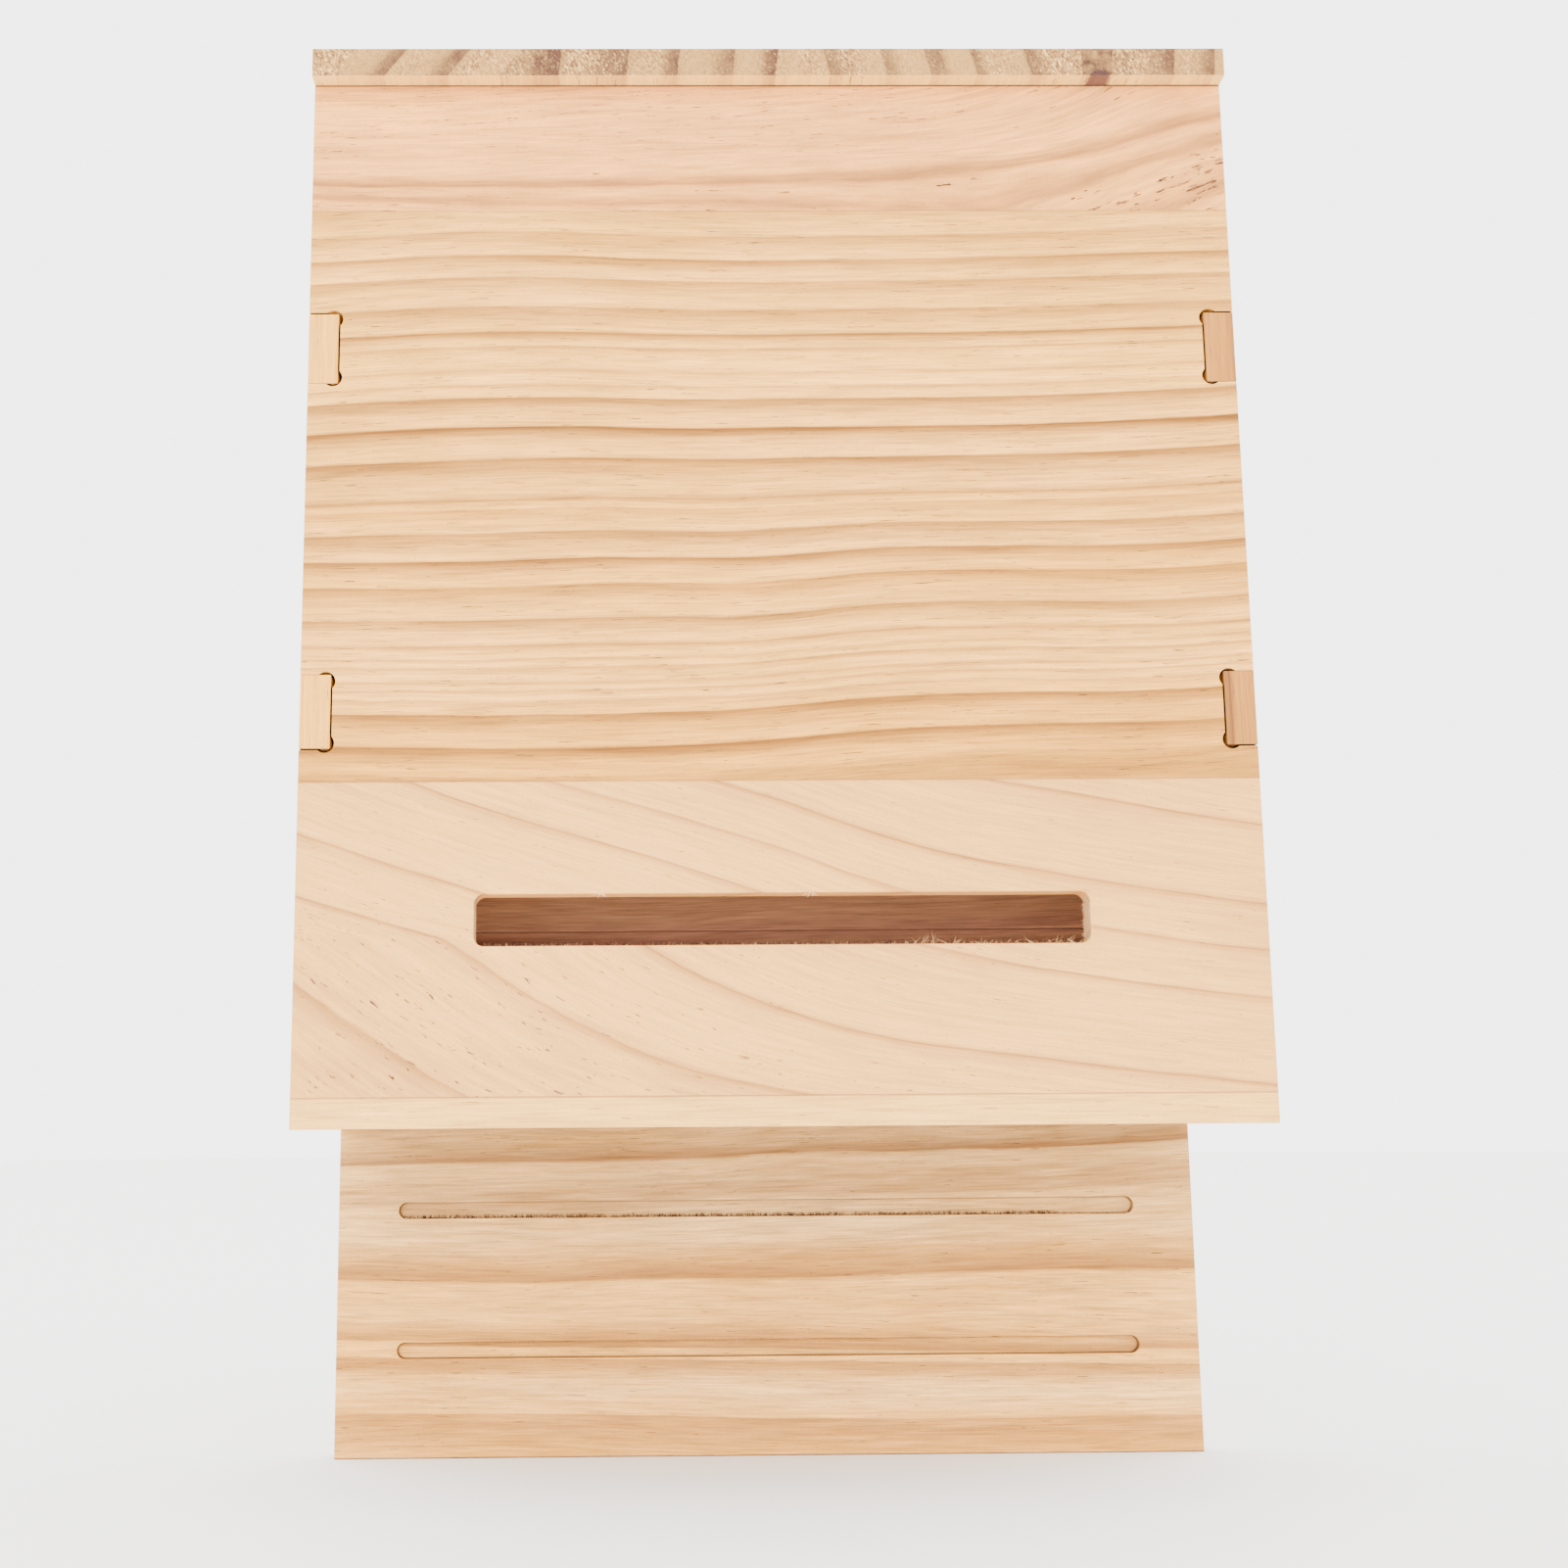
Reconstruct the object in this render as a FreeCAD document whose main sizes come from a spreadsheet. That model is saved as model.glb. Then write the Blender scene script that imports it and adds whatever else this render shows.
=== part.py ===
# A wall-hung bat box of unfinished pine boards, in millimetres.
# +Z is up, +X is to the right seen from the front, and the front faces -Y.
# The origin lies on the wall plane (y = 0, the back board's rear face), midway
# between the two keyholes that the box hangs on.

import FreeCAD, Part
import Sketcher
import math
import os

doc = FreeCAD.newDocument("bat_box")
sheet = doc.addObject("Spreadsheet::Sheet", "Sizes")

SIZES = [
    # the box as a whole
    ("box_width", 300.0),
    ("front_height", 340.0),
    ("chamber_depth", 93.2),
    ("landing_drop", 112.0),
    ("roof_overhang", 6.4),
    ("hang_below_roof", 60.0),
    # thickness of each board
    ("front_thickness", 9.6),
    ("back_thickness", 9.6),
    ("side_thickness", 9.6),
    ("roof_thickness", 9.6),
    # staves of the glued front panel; the wide stave takes what is left
    ("front_top_stave", 44.4),
    ("front_slotted_stave", 97.0),
    ("front_bottom_stave", 9.2),
    # staves of the glued roof, from left to right; the third takes what is left
    ("roof_left_stave", 72.0),
    ("roof_inner_stave", 87.5),
    ("roof_right_stave", 47.0),
    # slot through the front panel, measured up from the panel's lower edge
    ("slot_width", 190.0),
    ("slot_height", 16.0),
    ("slot_corner", 3.0),
    ("slot_rise", 55.0),
    # notches in the front and back boards, and the side boards' tabs in them
    ("notch_height", 24.0),
    ("notch_side_gap", 0.5),
    ("notch_drop", 91.5),
    ("notch_pitch", 120.0),
    ("relief_radius", 3.0),
    ("tab_gap", 0.4),
    # grip grooves across the back board, counted from its lower edge
    ("groove_length", 258.0),
    ("groove_width", 5.5),
    ("groove_depth", 2.5),
    ("groove_rise", 36.0),
    ("groove_pitch", 47.5),
    # keyholes through the back board
    ("keyhole_spacing", 180.0),
    ("keyhole_head", 10.0),
    ("keyhole_slot", 5.0),
    ("keyhole_travel", 10.0),
    # countersunk screws that hold the roof to the side boards
    ("screw_head", 6.0),
    ("screw_shank", 3.0),
    ("screw_length", 25.0),
    ("screw_tip", 4.0),
    ("screw_inset", 20.0),
    ("screw_clearance", 0.1),
    ("recess_span", 3.4),
    ("recess_width", 0.9),
    ("recess_depth", 1.3),
    # how far a cutting tool stands past the wood it cuts
    ("tool_margin", 1.0),
]
for row, (alias, value) in enumerate(SIZES, start=1):
    sheet.set("A%d" % row, alias)
    sheet.set("B%d" % row, str(value))
    sheet.setAlias("B%d" % row, alias)
doc.recompute()

# Places that several pieces share, as expressions on the sheet.
HALF_WIDTH = "(Sizes.box_width / 2)"
ROOF_UNDERSIDE = "Sizes.hang_below_roof"
FRONT_BOTTOM = "(Sizes.hang_below_roof - Sizes.front_height)"
BACK_HEIGHT = "(Sizes.front_height + Sizes.landing_drop)"
BACK_BOTTOM = "(Sizes.hang_below_roof - Sizes.front_height - Sizes.landing_drop)"
FRONT_INNER = "(-Sizes.back_thickness - Sizes.chamber_depth)"
FRONT_OUTER = "(-Sizes.back_thickness - Sizes.chamber_depth - Sizes.front_thickness)"
BOX_DEPTH = "(Sizes.back_thickness + Sizes.chamber_depth + Sizes.front_thickness)"
ROOF_FRONT = "(%s - Sizes.roof_overhang)" % FRONT_OUTER
NOTCH_DEPTH = "(Sizes.side_thickness + Sizes.notch_side_gap)"
SIDE_CENTRE = "(Sizes.box_width / 2 - Sizes.side_thickness / 2)"
SCREW_HEAD_HEIGHT = "((Sizes.screw_head - Sizes.screw_shank) / 2)"

AXES = ("x", "y", "z")


def place(item, *expressions):
    """Binds the item's position to three expressions."""
    for axis, expression in zip(AXES, expressions):
        item.setExpression("Placement.Base." + axis, expression)


def box(name, length, width, height, *corner):
    """A box by its sizes along X, Y and Z and its lowest corner."""
    item = doc.addObject("Part::Box", name)
    item.setExpression("Length", length)
    item.setExpression("Width", width)
    item.setExpression("Height", height)
    place(item, *corner)
    return item


def rod_along_y(name, radius, length, *end):
    """A cylinder that runs towards +Y from its end."""
    item = doc.addObject("Part::Cylinder", name)
    item.setExpression("Radius", radius)
    item.setExpression("Height", length)
    item.Placement.Rotation = FreeCAD.Rotation(FreeCAD.Vector(1, 0, 0), -90)
    place(item, *end)
    return item


def fuse(name, shapes):
    item = doc.addObject("Part::MultiFuse", name)
    item.Shapes = shapes
    item.Refine = True
    return item


def cut(name, base, tool):
    item = doc.addObject("Part::Cut", name)
    item.Base = base
    item.Tool = tool
    item.Refine = True
    return item


# Notch cutters. Each runs through the front and the back board, so both boards
# get the same four notches. The cutter's round bit leaves a relief in each inner
# corner, on the diagonal, so that the square tab can seat.
SIDES = {"left": -1, "right": 1}
LEVELS = {"upper": 0, "lower": 1}
TOOL_START = "(%s - Sizes.tool_margin)" % FRONT_OUTER
TOOL_RUN = "(%s + 2 * Sizes.tool_margin)" % BOX_DEPTH
RELIEF_INSET = "(Sizes.relief_radius * sqrt(2) / 2)"


def notch_bottom(level):
    centre = "%s - Sizes.notch_drop - %d * Sizes.notch_pitch" % (ROOF_UNDERSIDE, LEVELS[level])
    return "(%s - Sizes.notch_height / 2)" % centre


def notch_cutter(side, level):
    name = "notch_%s_%s" % (level, side)
    sign = SIDES[side]
    bottom = notch_bottom(level)
    reach = "(%s + Sizes.tool_margin)" % NOTCH_DEPTH
    inner_wall = "(%s - %s)" % (HALF_WIDTH, NOTCH_DEPTH)
    left_edge = inner_wall if sign > 0 else "(-%s - %s)" % (inner_wall, reach)
    parts = [box(name + "_square", reach, TOOL_RUN, "Sizes.notch_height",
                 left_edge, TOOL_START, bottom)]
    relief_x = "%d * (%s + %s)" % (sign, inner_wall, RELIEF_INSET)
    relief_low = "%s + %s" % (bottom, RELIEF_INSET)
    relief_high = "%s + Sizes.notch_height - %s" % (bottom, RELIEF_INSET)
    for end, relief_z in (("low", relief_low), ("high", relief_high)):
        parts.append(rod_along_y(name + "_relief_" + end, "Sizes.relief_radius", TOOL_RUN,
                                 relief_x, TOOL_START, relief_z))
    return fuse(name, parts)


notch_cutters = [notch_cutter(side, level) for side in SIDES for level in LEVELS]

# Slot cutter: a box with its four edges along Y rounded.
slot_block = box("slot_block", "Sizes.slot_width",
                 "Sizes.front_thickness + 2 * Sizes.tool_margin", "Sizes.slot_height",
                 "-Sizes.slot_width / 2", TOOL_START, FRONT_BOTTOM + " + Sizes.slot_rise")
doc.recompute()
slot_cutter = doc.addObject("Part::Fillet", "slot_cutter")
slot_cutter.Base = slot_block
slot_radius = min(sheet.slot_corner, sheet.slot_height / 2 * 0.98)
slot_cutter.Edges = [
    (number, slot_radius, slot_radius)
    for number, edge in enumerate(slot_block.Shape.Edges, start=1)
    if abs(edge.tangentAt(edge.FirstParameter).y) > 0.99
]
front_cutters = fuse("front_cutters", notch_cutters + [slot_cutter])

# Front panel: four staves glued edge to edge, listed from the top down.
WIDE_STAVE = ("(Sizes.front_height - Sizes.front_top_stave"
              " - Sizes.front_slotted_stave - Sizes.front_bottom_stave)")
front_staves = [
    ("front_stave_top", "Sizes.front_top_stave"),
    ("front_stave_wide", WIDE_STAVE),
    ("front_stave_slotted", "Sizes.front_slotted_stave"),
    ("front_stave_bottom", "Sizes.front_bottom_stave"),
]
subparts = []
stave_top = ROOF_UNDERSIDE
for label, stave_height in front_staves:
    stave_bottom = "(%s - %s)" % (stave_top, stave_height)
    blank = box(label + "_blank", "Sizes.box_width", "Sizes.front_thickness", stave_height,
                "-" + HALF_WIDTH, FRONT_OUTER, stave_bottom)
    subparts.append((label, cut(label, blank, front_cutters)))
    stave_top = stave_bottom


def origin_plane(body, role):
    return next(item for item in body.Origin.OriginFeatures if item.Role == role)


def wall_sketch(body, name, right, out, up):
    """A sketch parallel to the wall: its x is X, its y is Z, and it faces -Y."""
    sketch = body.newObject("Sketcher::SketchObject", name)
    sketch.AttachmentSupport = (origin_plane(body, "XZ_Plane"), [""])
    sketch.MapMode = "FlatFace"
    sketch.setExpression("AttachmentOffset.Base.x", right)
    sketch.setExpression("AttachmentOffset.Base.y", up)
    sketch.setExpression("AttachmentOffset.Base.z", out)
    return sketch


def draw_rectangle(sketch, width, height):
    """A rectangle from the sketch's origin, its sizes bound to the sheet."""
    corners = [(0, 0), (10, 0), (10, 10), (0, 10)]
    points = [FreeCAD.Vector(x, y, 0) for x, y in corners]
    for start, end in zip(points, points[1:] + points[:1]):
        sketch.addGeometry(Part.LineSegment(start, end))
    for line in range(4):
        sketch.addConstraint(Sketcher.Constraint("Coincident", line, 2, (line + 1) % 4, 1))
    for line, kind in enumerate(("Horizontal", "Vertical", "Horizontal", "Vertical")):
        sketch.addConstraint(Sketcher.Constraint(kind, line))
    sketch.addConstraint(Sketcher.Constraint("Coincident", 0, 1, -1, 1))
    wide = sketch.addConstraint(Sketcher.Constraint("DistanceX", 0, 1, 0, 2, 10))
    high = sketch.addConstraint(Sketcher.Constraint("DistanceY", 1, 1, 1, 2, 10))
    sketch.setExpression("Constraints[%d]" % wide, width)
    sketch.setExpression("Constraints[%d]" % high, height)


def draw_groove(sketch, length, width):
    """A round-ended groove outline centred on the sketch's origin."""
    up = math.pi / 2
    left = FreeCAD.Vector(-10, 0, 0)
    right = FreeCAD.Vector(10, 0, 0)
    normal = FreeCAD.Vector(0, 0, 1)
    sketch.addGeometry(Part.ArcOfCircle(Part.Circle(left, normal, 2), up, 3 * up))
    sketch.addGeometry(Part.ArcOfCircle(Part.Circle(right, normal, 2), -up, up))
    sketch.addGeometry(Part.LineSegment(FreeCAD.Vector(-10, -2, 0), FreeCAD.Vector(10, -2, 0)))
    sketch.addGeometry(Part.LineSegment(FreeCAD.Vector(10, 2, 0), FreeCAD.Vector(-10, 2, 0)))
    for first, first_end, second, second_end in ((0, 2, 2, 1), (2, 2, 1, 1), (1, 2, 3, 1), (3, 2, 0, 1)):
        sketch.addConstraint(
            Sketcher.Constraint("Tangent", first, first_end, second, second_end))
    sketch.addConstraint(Sketcher.Constraint("Horizontal", 2))
    sketch.addConstraint(Sketcher.Constraint("Symmetric", 0, 3, 1, 3, -1, 1))
    radius = sketch.addConstraint(Sketcher.Constraint("Radius", 0, 2))
    run = sketch.addConstraint(Sketcher.Constraint("DistanceX", 0, 3, 1, 3, 20))
    sketch.setExpression("Constraints[%d]" % radius, "%s / 2" % width)
    sketch.setExpression("Constraints[%d]" % run, "%s - %s" % (length, width))


# Back board: one board, routed with round-ended grip grooves at an even pitch,
# notched like the front, with two keyholes near its top.
back_body = doc.addObject("PartDesign::Body", "back_blank")
outline = wall_sketch(back_body, "back_outline", "-" + HALF_WIDTH, "0", BACK_BOTTOM)
draw_rectangle(outline, "Sizes.box_width", BACK_HEIGHT)
back_pad = back_body.newObject("PartDesign::Pad", "back_pad")
back_pad.Profile = outline
back_pad.setExpression("Length", "Sizes.back_thickness")
doc.recompute()
plain_volume = back_body.Shape.Volume

groove_outline = wall_sketch(back_body, "groove_outline", "0", "Sizes.back_thickness",
                             BACK_BOTTOM + " + Sizes.groove_rise")
draw_groove(groove_outline, "Sizes.groove_length", "Sizes.groove_width")
groove = back_body.newObject("PartDesign::Pocket", "grip_groove")
groove.Profile = groove_outline
groove.setExpression("Length", "Sizes.groove_depth")
doc.recompute()
one_groove = plain_volume - back_body.Shape.Volume

# as many grooves as the board has room for, with the same margin at both ends
groove_room = sheet.front_height + sheet.landing_drop - 2 * sheet.groove_rise
groove_count = int(groove_room / sheet.groove_pitch + 0.01) + 1
grooves = back_body.newObject("PartDesign::LinearPattern", "grip_grooves")
grooves.Originals = [groove]
grooves.Direction = (origin_plane(back_body, "Z_Axis"), [""])
grooves.Occurrences = groove_count
grooves.setExpression("Length", "Sizes.groove_pitch * %d" % (groove_count - 1))
back_body.Tip = grooves
doc.recompute()
all_grooves = plain_volume - back_body.Shape.Volume
print("back board: %d grooves, volume of one %.1f mm3, of all %.1f mm3"
      % (groove_count, one_groove, all_grooves))


def keyhole_cutter(side):
    """A round hole for the screw's head, with a narrower slot above it."""
    name = "keyhole_" + side
    centre = "%d * Sizes.keyhole_spacing / 2" % SIDES[side]
    start = "(-Sizes.back_thickness - Sizes.tool_margin)"
    run = "(Sizes.back_thickness + 2 * Sizes.tool_margin)"
    head = rod_along_y(name + "_head", "Sizes.keyhole_head / 2", run, centre, start, "0")
    neck = box(name + "_neck", "Sizes.keyhole_slot", run, "Sizes.keyhole_travel",
               centre + " - Sizes.keyhole_slot / 2", start, "0")
    seat = rod_along_y(name + "_seat", "Sizes.keyhole_slot / 2", run,
                       centre, start, "Sizes.keyhole_travel")
    return fuse(name, [head, neck, seat])


back_cutters = fuse("back_cutters", notch_cutters + [keyhole_cutter(side) for side in SIDES])
subparts.append(("back_board", cut("back_board", back_body, back_cutters)))


ROOF_TOP = "(Sizes.hang_below_roof + Sizes.roof_thickness)"


def screw_spots():
    """Name and place of each roof screw: two above the middle line of each side board."""
    near = "(%s + Sizes.screw_inset)" % FRONT_INNER
    far = "(-Sizes.back_thickness - Sizes.screw_inset)"
    for side, sign in SIDES.items():
        for end, along in (("front", near), ("back", far)):
            yield "%s_%s" % (side, end), "%d * %s" % (sign, SIDE_CENTRE), along


def screw_bore(spot, across, along):
    """The countersunk hole that one screw fills, a little wider than the screw."""
    name = "bore_" + spot
    shank = doc.addObject("Part::Cylinder", name + "_shank")
    shank.setExpression("Radius", "Sizes.screw_shank / 2 + Sizes.screw_clearance")
    shank.setExpression("Height", "Sizes.screw_length + Sizes.screw_clearance")
    place(shank, across, along, ROOF_TOP + " - Sizes.screw_length - Sizes.screw_clearance")
    sink = doc.addObject("Part::Cone", name + "_sink")
    sink.setExpression("Radius1", "Sizes.screw_shank / 2 + Sizes.screw_clearance")
    sink.setExpression("Radius2", "Sizes.screw_head / 2 + Sizes.screw_clearance")
    sink.setExpression("Height", SCREW_HEAD_HEIGHT)
    place(sink, across, along, "%s - %s" % (ROOF_TOP, SCREW_HEAD_HEIGHT))
    return fuse(name, [shank, sink])


def screw(spot, across, along):
    """A countersunk wood screw with a cross recess, from its head's top face down."""
    body = doc.addObject("PartDesign::Body", "screw_" + spot)
    shank = body.newObject("PartDesign::AdditiveCylinder", "shank_" + spot)
    shank.setExpression("Radius", "Sizes.screw_shank / 2")
    shank.setExpression("Height", "Sizes.screw_length - Sizes.screw_tip")
    shank.setExpression("AttachmentOffset.Base.z", "-(Sizes.screw_length - Sizes.screw_tip)")
    head = body.newObject("PartDesign::AdditiveCone", "head_" + spot)
    head.setExpression("Radius1", "Sizes.screw_shank / 2")
    head.setExpression("Radius2", "Sizes.screw_head / 2")
    head.setExpression("Height", SCREW_HEAD_HEIGHT)
    head.setExpression("AttachmentOffset.Base.z", "-" + SCREW_HEAD_HEIGHT)
    tip = body.newObject("PartDesign::AdditiveCone", "tip_" + spot)
    tip.Radius1 = 0
    tip.setExpression("Radius2", "Sizes.screw_shank / 2")
    tip.setExpression("Height", "Sizes.screw_tip")
    tip.setExpression("AttachmentOffset.Base.z", "-Sizes.screw_length")
    for feature in (shank, head, tip):
        feature.AttachmentSupport = (origin_plane(body, "XY_Plane"), [""])
        feature.MapMode = "FlatFace"
    spans = (("Sizes.recess_span", "Sizes.recess_width"),
             ("Sizes.recess_width", "Sizes.recess_span"))
    for wing, (long_side, short_side) in enumerate(spans):
        slot = body.newObject("PartDesign::SubtractiveBox", "recess_%d_%s" % (wing, spot))
        slot.AttachmentSupport = (origin_plane(body, "XY_Plane"), [""])
        slot.MapMode = "FlatFace"
        slot.setExpression("Length", long_side)
        slot.setExpression("Width", short_side)
        slot.setExpression("Height", "Sizes.recess_depth")
        slot.setExpression("AttachmentOffset.Base.x", "-%s / 2" % long_side)
        slot.setExpression("AttachmentOffset.Base.y", "-%s / 2" % short_side)
        slot.setExpression("AttachmentOffset.Base.z", "-Sizes.recess_depth")
    place(body, across, along, ROOF_TOP)
    return body


screw_bores = fuse("screw_bores", [screw_bore(*spot) for spot in screw_spots()])

# Side boards: each stands between the front and the back, flush with their ends,
# and its two tabs at each edge come out flush with their outer faces. The upper
# tabs rest on the lower walls of their notches, and the lower tabs bear against
# the upper walls, which leaves the small gap at the other wall.
SIDE_HEIGHT = "Sizes.front_height"
TAB_HEIGHT = "(Sizes.notch_height - Sizes.tab_gap)"
tab_bottoms = {
    "upper": notch_bottom("upper"),
    "lower": notch_bottom("lower") + " + Sizes.tab_gap",
}
for side, sign in SIDES.items():
    label = "side_board_" + side
    left_face = "-" + HALF_WIDTH if sign < 0 else "%s - Sizes.side_thickness" % HALF_WIDTH
    pieces = [box(label + "_panel", "Sizes.side_thickness", "Sizes.chamber_depth", SIDE_HEIGHT,
                  left_face, FRONT_INNER, FRONT_BOTTOM)]
    for level in LEVELS:
        for end, start, run in (("front", FRONT_OUTER, "Sizes.front_thickness"),
                                ("back", "-Sizes.back_thickness", "Sizes.back_thickness")):
            pieces.append(box("%s_tab_%s_%s" % (label, level, end), "Sizes.side_thickness", run,
                              TAB_HEIGHT, left_face, start, tab_bottoms[level]))
    subparts.append((label, cut(label, fuse(label + "_tabbed", pieces), screw_bores)))

# Roof: four staves glued side by side, grain from front to back, listed from the
# left. It covers the box to the wall and overhangs the front.
ROOF_REST = ("(Sizes.box_width - Sizes.roof_left_stave"
             " - Sizes.roof_inner_stave - Sizes.roof_right_stave)")
roof_staves = [
    ("roof_stave_left", "Sizes.roof_left_stave"),
    ("roof_stave_inner_left", "Sizes.roof_inner_stave"),
    ("roof_stave_inner_right", ROOF_REST),
    ("roof_stave_right", "Sizes.roof_right_stave"),
]
stave_left = "(-%s)" % HALF_WIDTH
for label, stave_width in roof_staves:
    blank = box(label + "_blank", stave_width, "-%s" % ROOF_FRONT, "Sizes.roof_thickness",
                stave_left, ROOF_FRONT, ROOF_UNDERSIDE)
    subparts.append((label, cut(label, blank, screw_bores)))
    stave_left = "(%s + %s)" % (stave_left, stave_width)

screws = doc.addObject("Part::Compound", "roof_screws")
screws.Links = [screw(*spot) for spot in screw_spots()]
subparts.append(("roof_screws", screws))

doc.recompute()
for item in doc.Objects:
    if "Invalid" in item.State or "Error" in item.State:
        raise RuntimeError("%s did not compute: %s" % (item.Name, item.State))
os.makedirs("parts", exist_ok=True)
for label, item in subparts:
    item.Label = label
    if item.Shape.isNull() or not item.Shape.isValid():
        raise RuntimeError("%s has no valid shape" % label)
for label, item in subparts:
    item.Shape.exportStep("parts/%s.step" % label)
    extent = item.Shape.BoundBox
    print("%-24s %d solid(s) %9.0f mm3  x %.1f %.1f  y %.1f %.1f  z %.1f %.1f"
          % (label, len(item.Shape.Solids), item.Shape.Volume, extent.XMin, extent.XMax,
             extent.YMin, extent.YMax, extent.ZMin, extent.ZMax))
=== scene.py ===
# %% [markdown]
# # A pine bat box, dressed for its picture
# The box is made of thin sanded pine boards: a front panel glued up from four staves, two side
# boards whose tabs come through it, a tall back board with climbing grooves, and a roof of four
# staves held by screws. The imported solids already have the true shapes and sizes. This lesson
# gives them the grain, the worn arrises and the torn fibres that the saw and the router leave.

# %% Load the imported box
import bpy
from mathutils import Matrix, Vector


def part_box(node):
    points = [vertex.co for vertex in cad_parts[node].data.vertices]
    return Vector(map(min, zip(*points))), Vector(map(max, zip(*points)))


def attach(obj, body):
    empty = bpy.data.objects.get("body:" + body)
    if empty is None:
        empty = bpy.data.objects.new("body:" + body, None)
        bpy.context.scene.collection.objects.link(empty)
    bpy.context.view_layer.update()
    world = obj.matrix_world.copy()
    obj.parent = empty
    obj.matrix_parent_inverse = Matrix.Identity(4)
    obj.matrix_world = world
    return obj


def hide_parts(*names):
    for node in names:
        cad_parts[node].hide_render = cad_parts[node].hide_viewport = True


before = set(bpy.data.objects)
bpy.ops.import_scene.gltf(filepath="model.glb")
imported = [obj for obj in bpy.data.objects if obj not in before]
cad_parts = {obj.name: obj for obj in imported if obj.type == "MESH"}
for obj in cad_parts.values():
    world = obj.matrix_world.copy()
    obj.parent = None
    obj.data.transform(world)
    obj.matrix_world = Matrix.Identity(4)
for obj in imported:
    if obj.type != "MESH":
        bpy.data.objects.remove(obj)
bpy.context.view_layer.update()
MM = 0.001              # in Blender's metres

# %% The other tools of this lesson
import math
import random
from collections import namedtuple
from functools import partial

import bmesh
import bpy
from mathutils import Matrix, Vector

print("Blender", bpy.app.version_string)

# %% [markdown]
# ## Camera
# The picture is taken from straight in front and a little below, with the camera close to the
# box, so the panel spreads towards its foot. A camera could be aimed by eye, but the corners of
# the boards fix its place and its angles well, so they are given as numbers. The picture is cut
# from a wider one, which is why its middle isn't the lens's: a small shift puts that right.

# %% Set up the camera
CAMERA_AT = Vector((-43.3, -713.0, -277.8)) * MM
CAMERA_YAW, CAMERA_PITCH, CAMERA_ROLL = -0.0123, 0.1698, 0.0071   # radians
PICTURE_WIDTH = 1601            # pixels
FOCAL_PIXELS = 2000
MIDDLE_OFFSET_PIXELS = 121.5    # how far the lens's middle lies left of the picture's
SENSOR_WIDTH = 36.0             # mm

camera = bpy.data.objects.new("camera", bpy.data.cameras.new("camera"))
bpy.context.scene.collection.objects.link(camera)
bpy.context.scene.camera = camera
camera.data.sensor_width = SENSOR_WIDTH
camera.data.lens = SENSOR_WIDTH * FOCAL_PIXELS / PICTURE_WIDTH
camera.data.shift_x = MIDDLE_OFFSET_PIXELS / PICTURE_WIDTH
turn = (Matrix.Rotation(CAMERA_YAW, 4, "Z")
        @ Matrix.Rotation(math.pi / 2 + CAMERA_PITCH, 4, "X")
        @ Matrix.Rotation(-CAMERA_ROLL, 4, "Z"))
camera.matrix_world = Matrix.Translation(CAMERA_AT) @ turn
print("lens", round(camera.data.lens, 1), "mm, shift", round(camera.data.shift_x, 4))

# %% [markdown]
# ## Colours and nodes
# Colours are read off a screen as sRGB hex values, but light adds up in linear numbers, so one
# function turns them. A second one adds a shader node with its settings and its links, which
# keeps the recipes below as short as the sums they stand for. The nodes could also be laid out
# by hand in the shader editor, but each of the eleven boards needs about two hundred of them.


# %% Helpers for every finish
def linear(hex_colour):
    """An sRGB hex colour, such as "#E0C090", as linear red, green, blue and alpha."""
    parts = [int(hex_colour[i:i + 2], 16) / 255 for i in (1, 3, 5)]
    return [p / 12.92 if p <= 0.04045 else ((p + 0.055) / 1.055) ** 2.4 for p in parts] + [1.0]


def put(tree, kind, *inputs, **settings):
    """Add a shader node, such as "Mix" or "Math ADD", with its settings and its links.

    The inputs go to its open sockets in order: a node, a socket or a value each."""
    kind, _, operation = kind.partition(" ")
    made = tree.nodes.new("ShaderNode" + kind)
    if operation:
        made.operation = operation
    for setting, value in settings.items():
        setattr(made, setting, value)
    for socket, value in zip([s for s in made.inputs if s.enabled], inputs):
        feed(tree, socket, value)
    return made


def feed(tree, socket, value):
    """Link a node or a socket to a socket, or set its value. None leaves it as it is."""
    if isinstance(value, bpy.types.Node):
        value = next(s for s in value.outputs if s.enabled)
    if isinstance(value, bpy.types.NodeSocket):
        tree.links.new(value, socket)
    elif value is not None:
        socket.default_value = value


print("pale pine, linear:", [round(part, 3) for part in linear("#E6AE5C")[:3]])

# %% [markdown]
# ## Light and floor
# The studio is white all round: soft light from every side, a broad soft lamp in front and
# below, and a pale floor. Lamps alone would leave hard shadows under the roof, and a picture of
# a sky would tint the wood, so a plain bright surround does most of the work.

# %% Light the studio
SURROUND_STRENGTH = 4.6
world = bpy.data.worlds.new("white_studio")
bpy.context.scene.world = world
world.use_nodes = True
world.node_tree.nodes["Background"].inputs["Color"].default_value = linear("#FFFFFF")
world.node_tree.nodes["Background"].inputs["Strength"].default_value = SURROUND_STRENGTH


def soft_lamp(name, at, aim, size, watts):
    """A square lamp of the given side in metres, turned to shine on a point."""
    lamp = bpy.data.objects.new(name, bpy.data.lights.new(name, "AREA"))
    bpy.context.scene.collection.objects.link(lamp)
    lamp.data.size, lamp.data.energy = size, watts
    lamp.location = at
    lamp.rotation_euler = (Vector(aim) - Vector(at)).to_track_quat("-Z", "Y").to_euler()


soft_lamp("front_lamp", at=(-0.5, -1.9, 0.1), aim=(0, -0.1, -0.15), size=1.2, watts=42)

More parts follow.
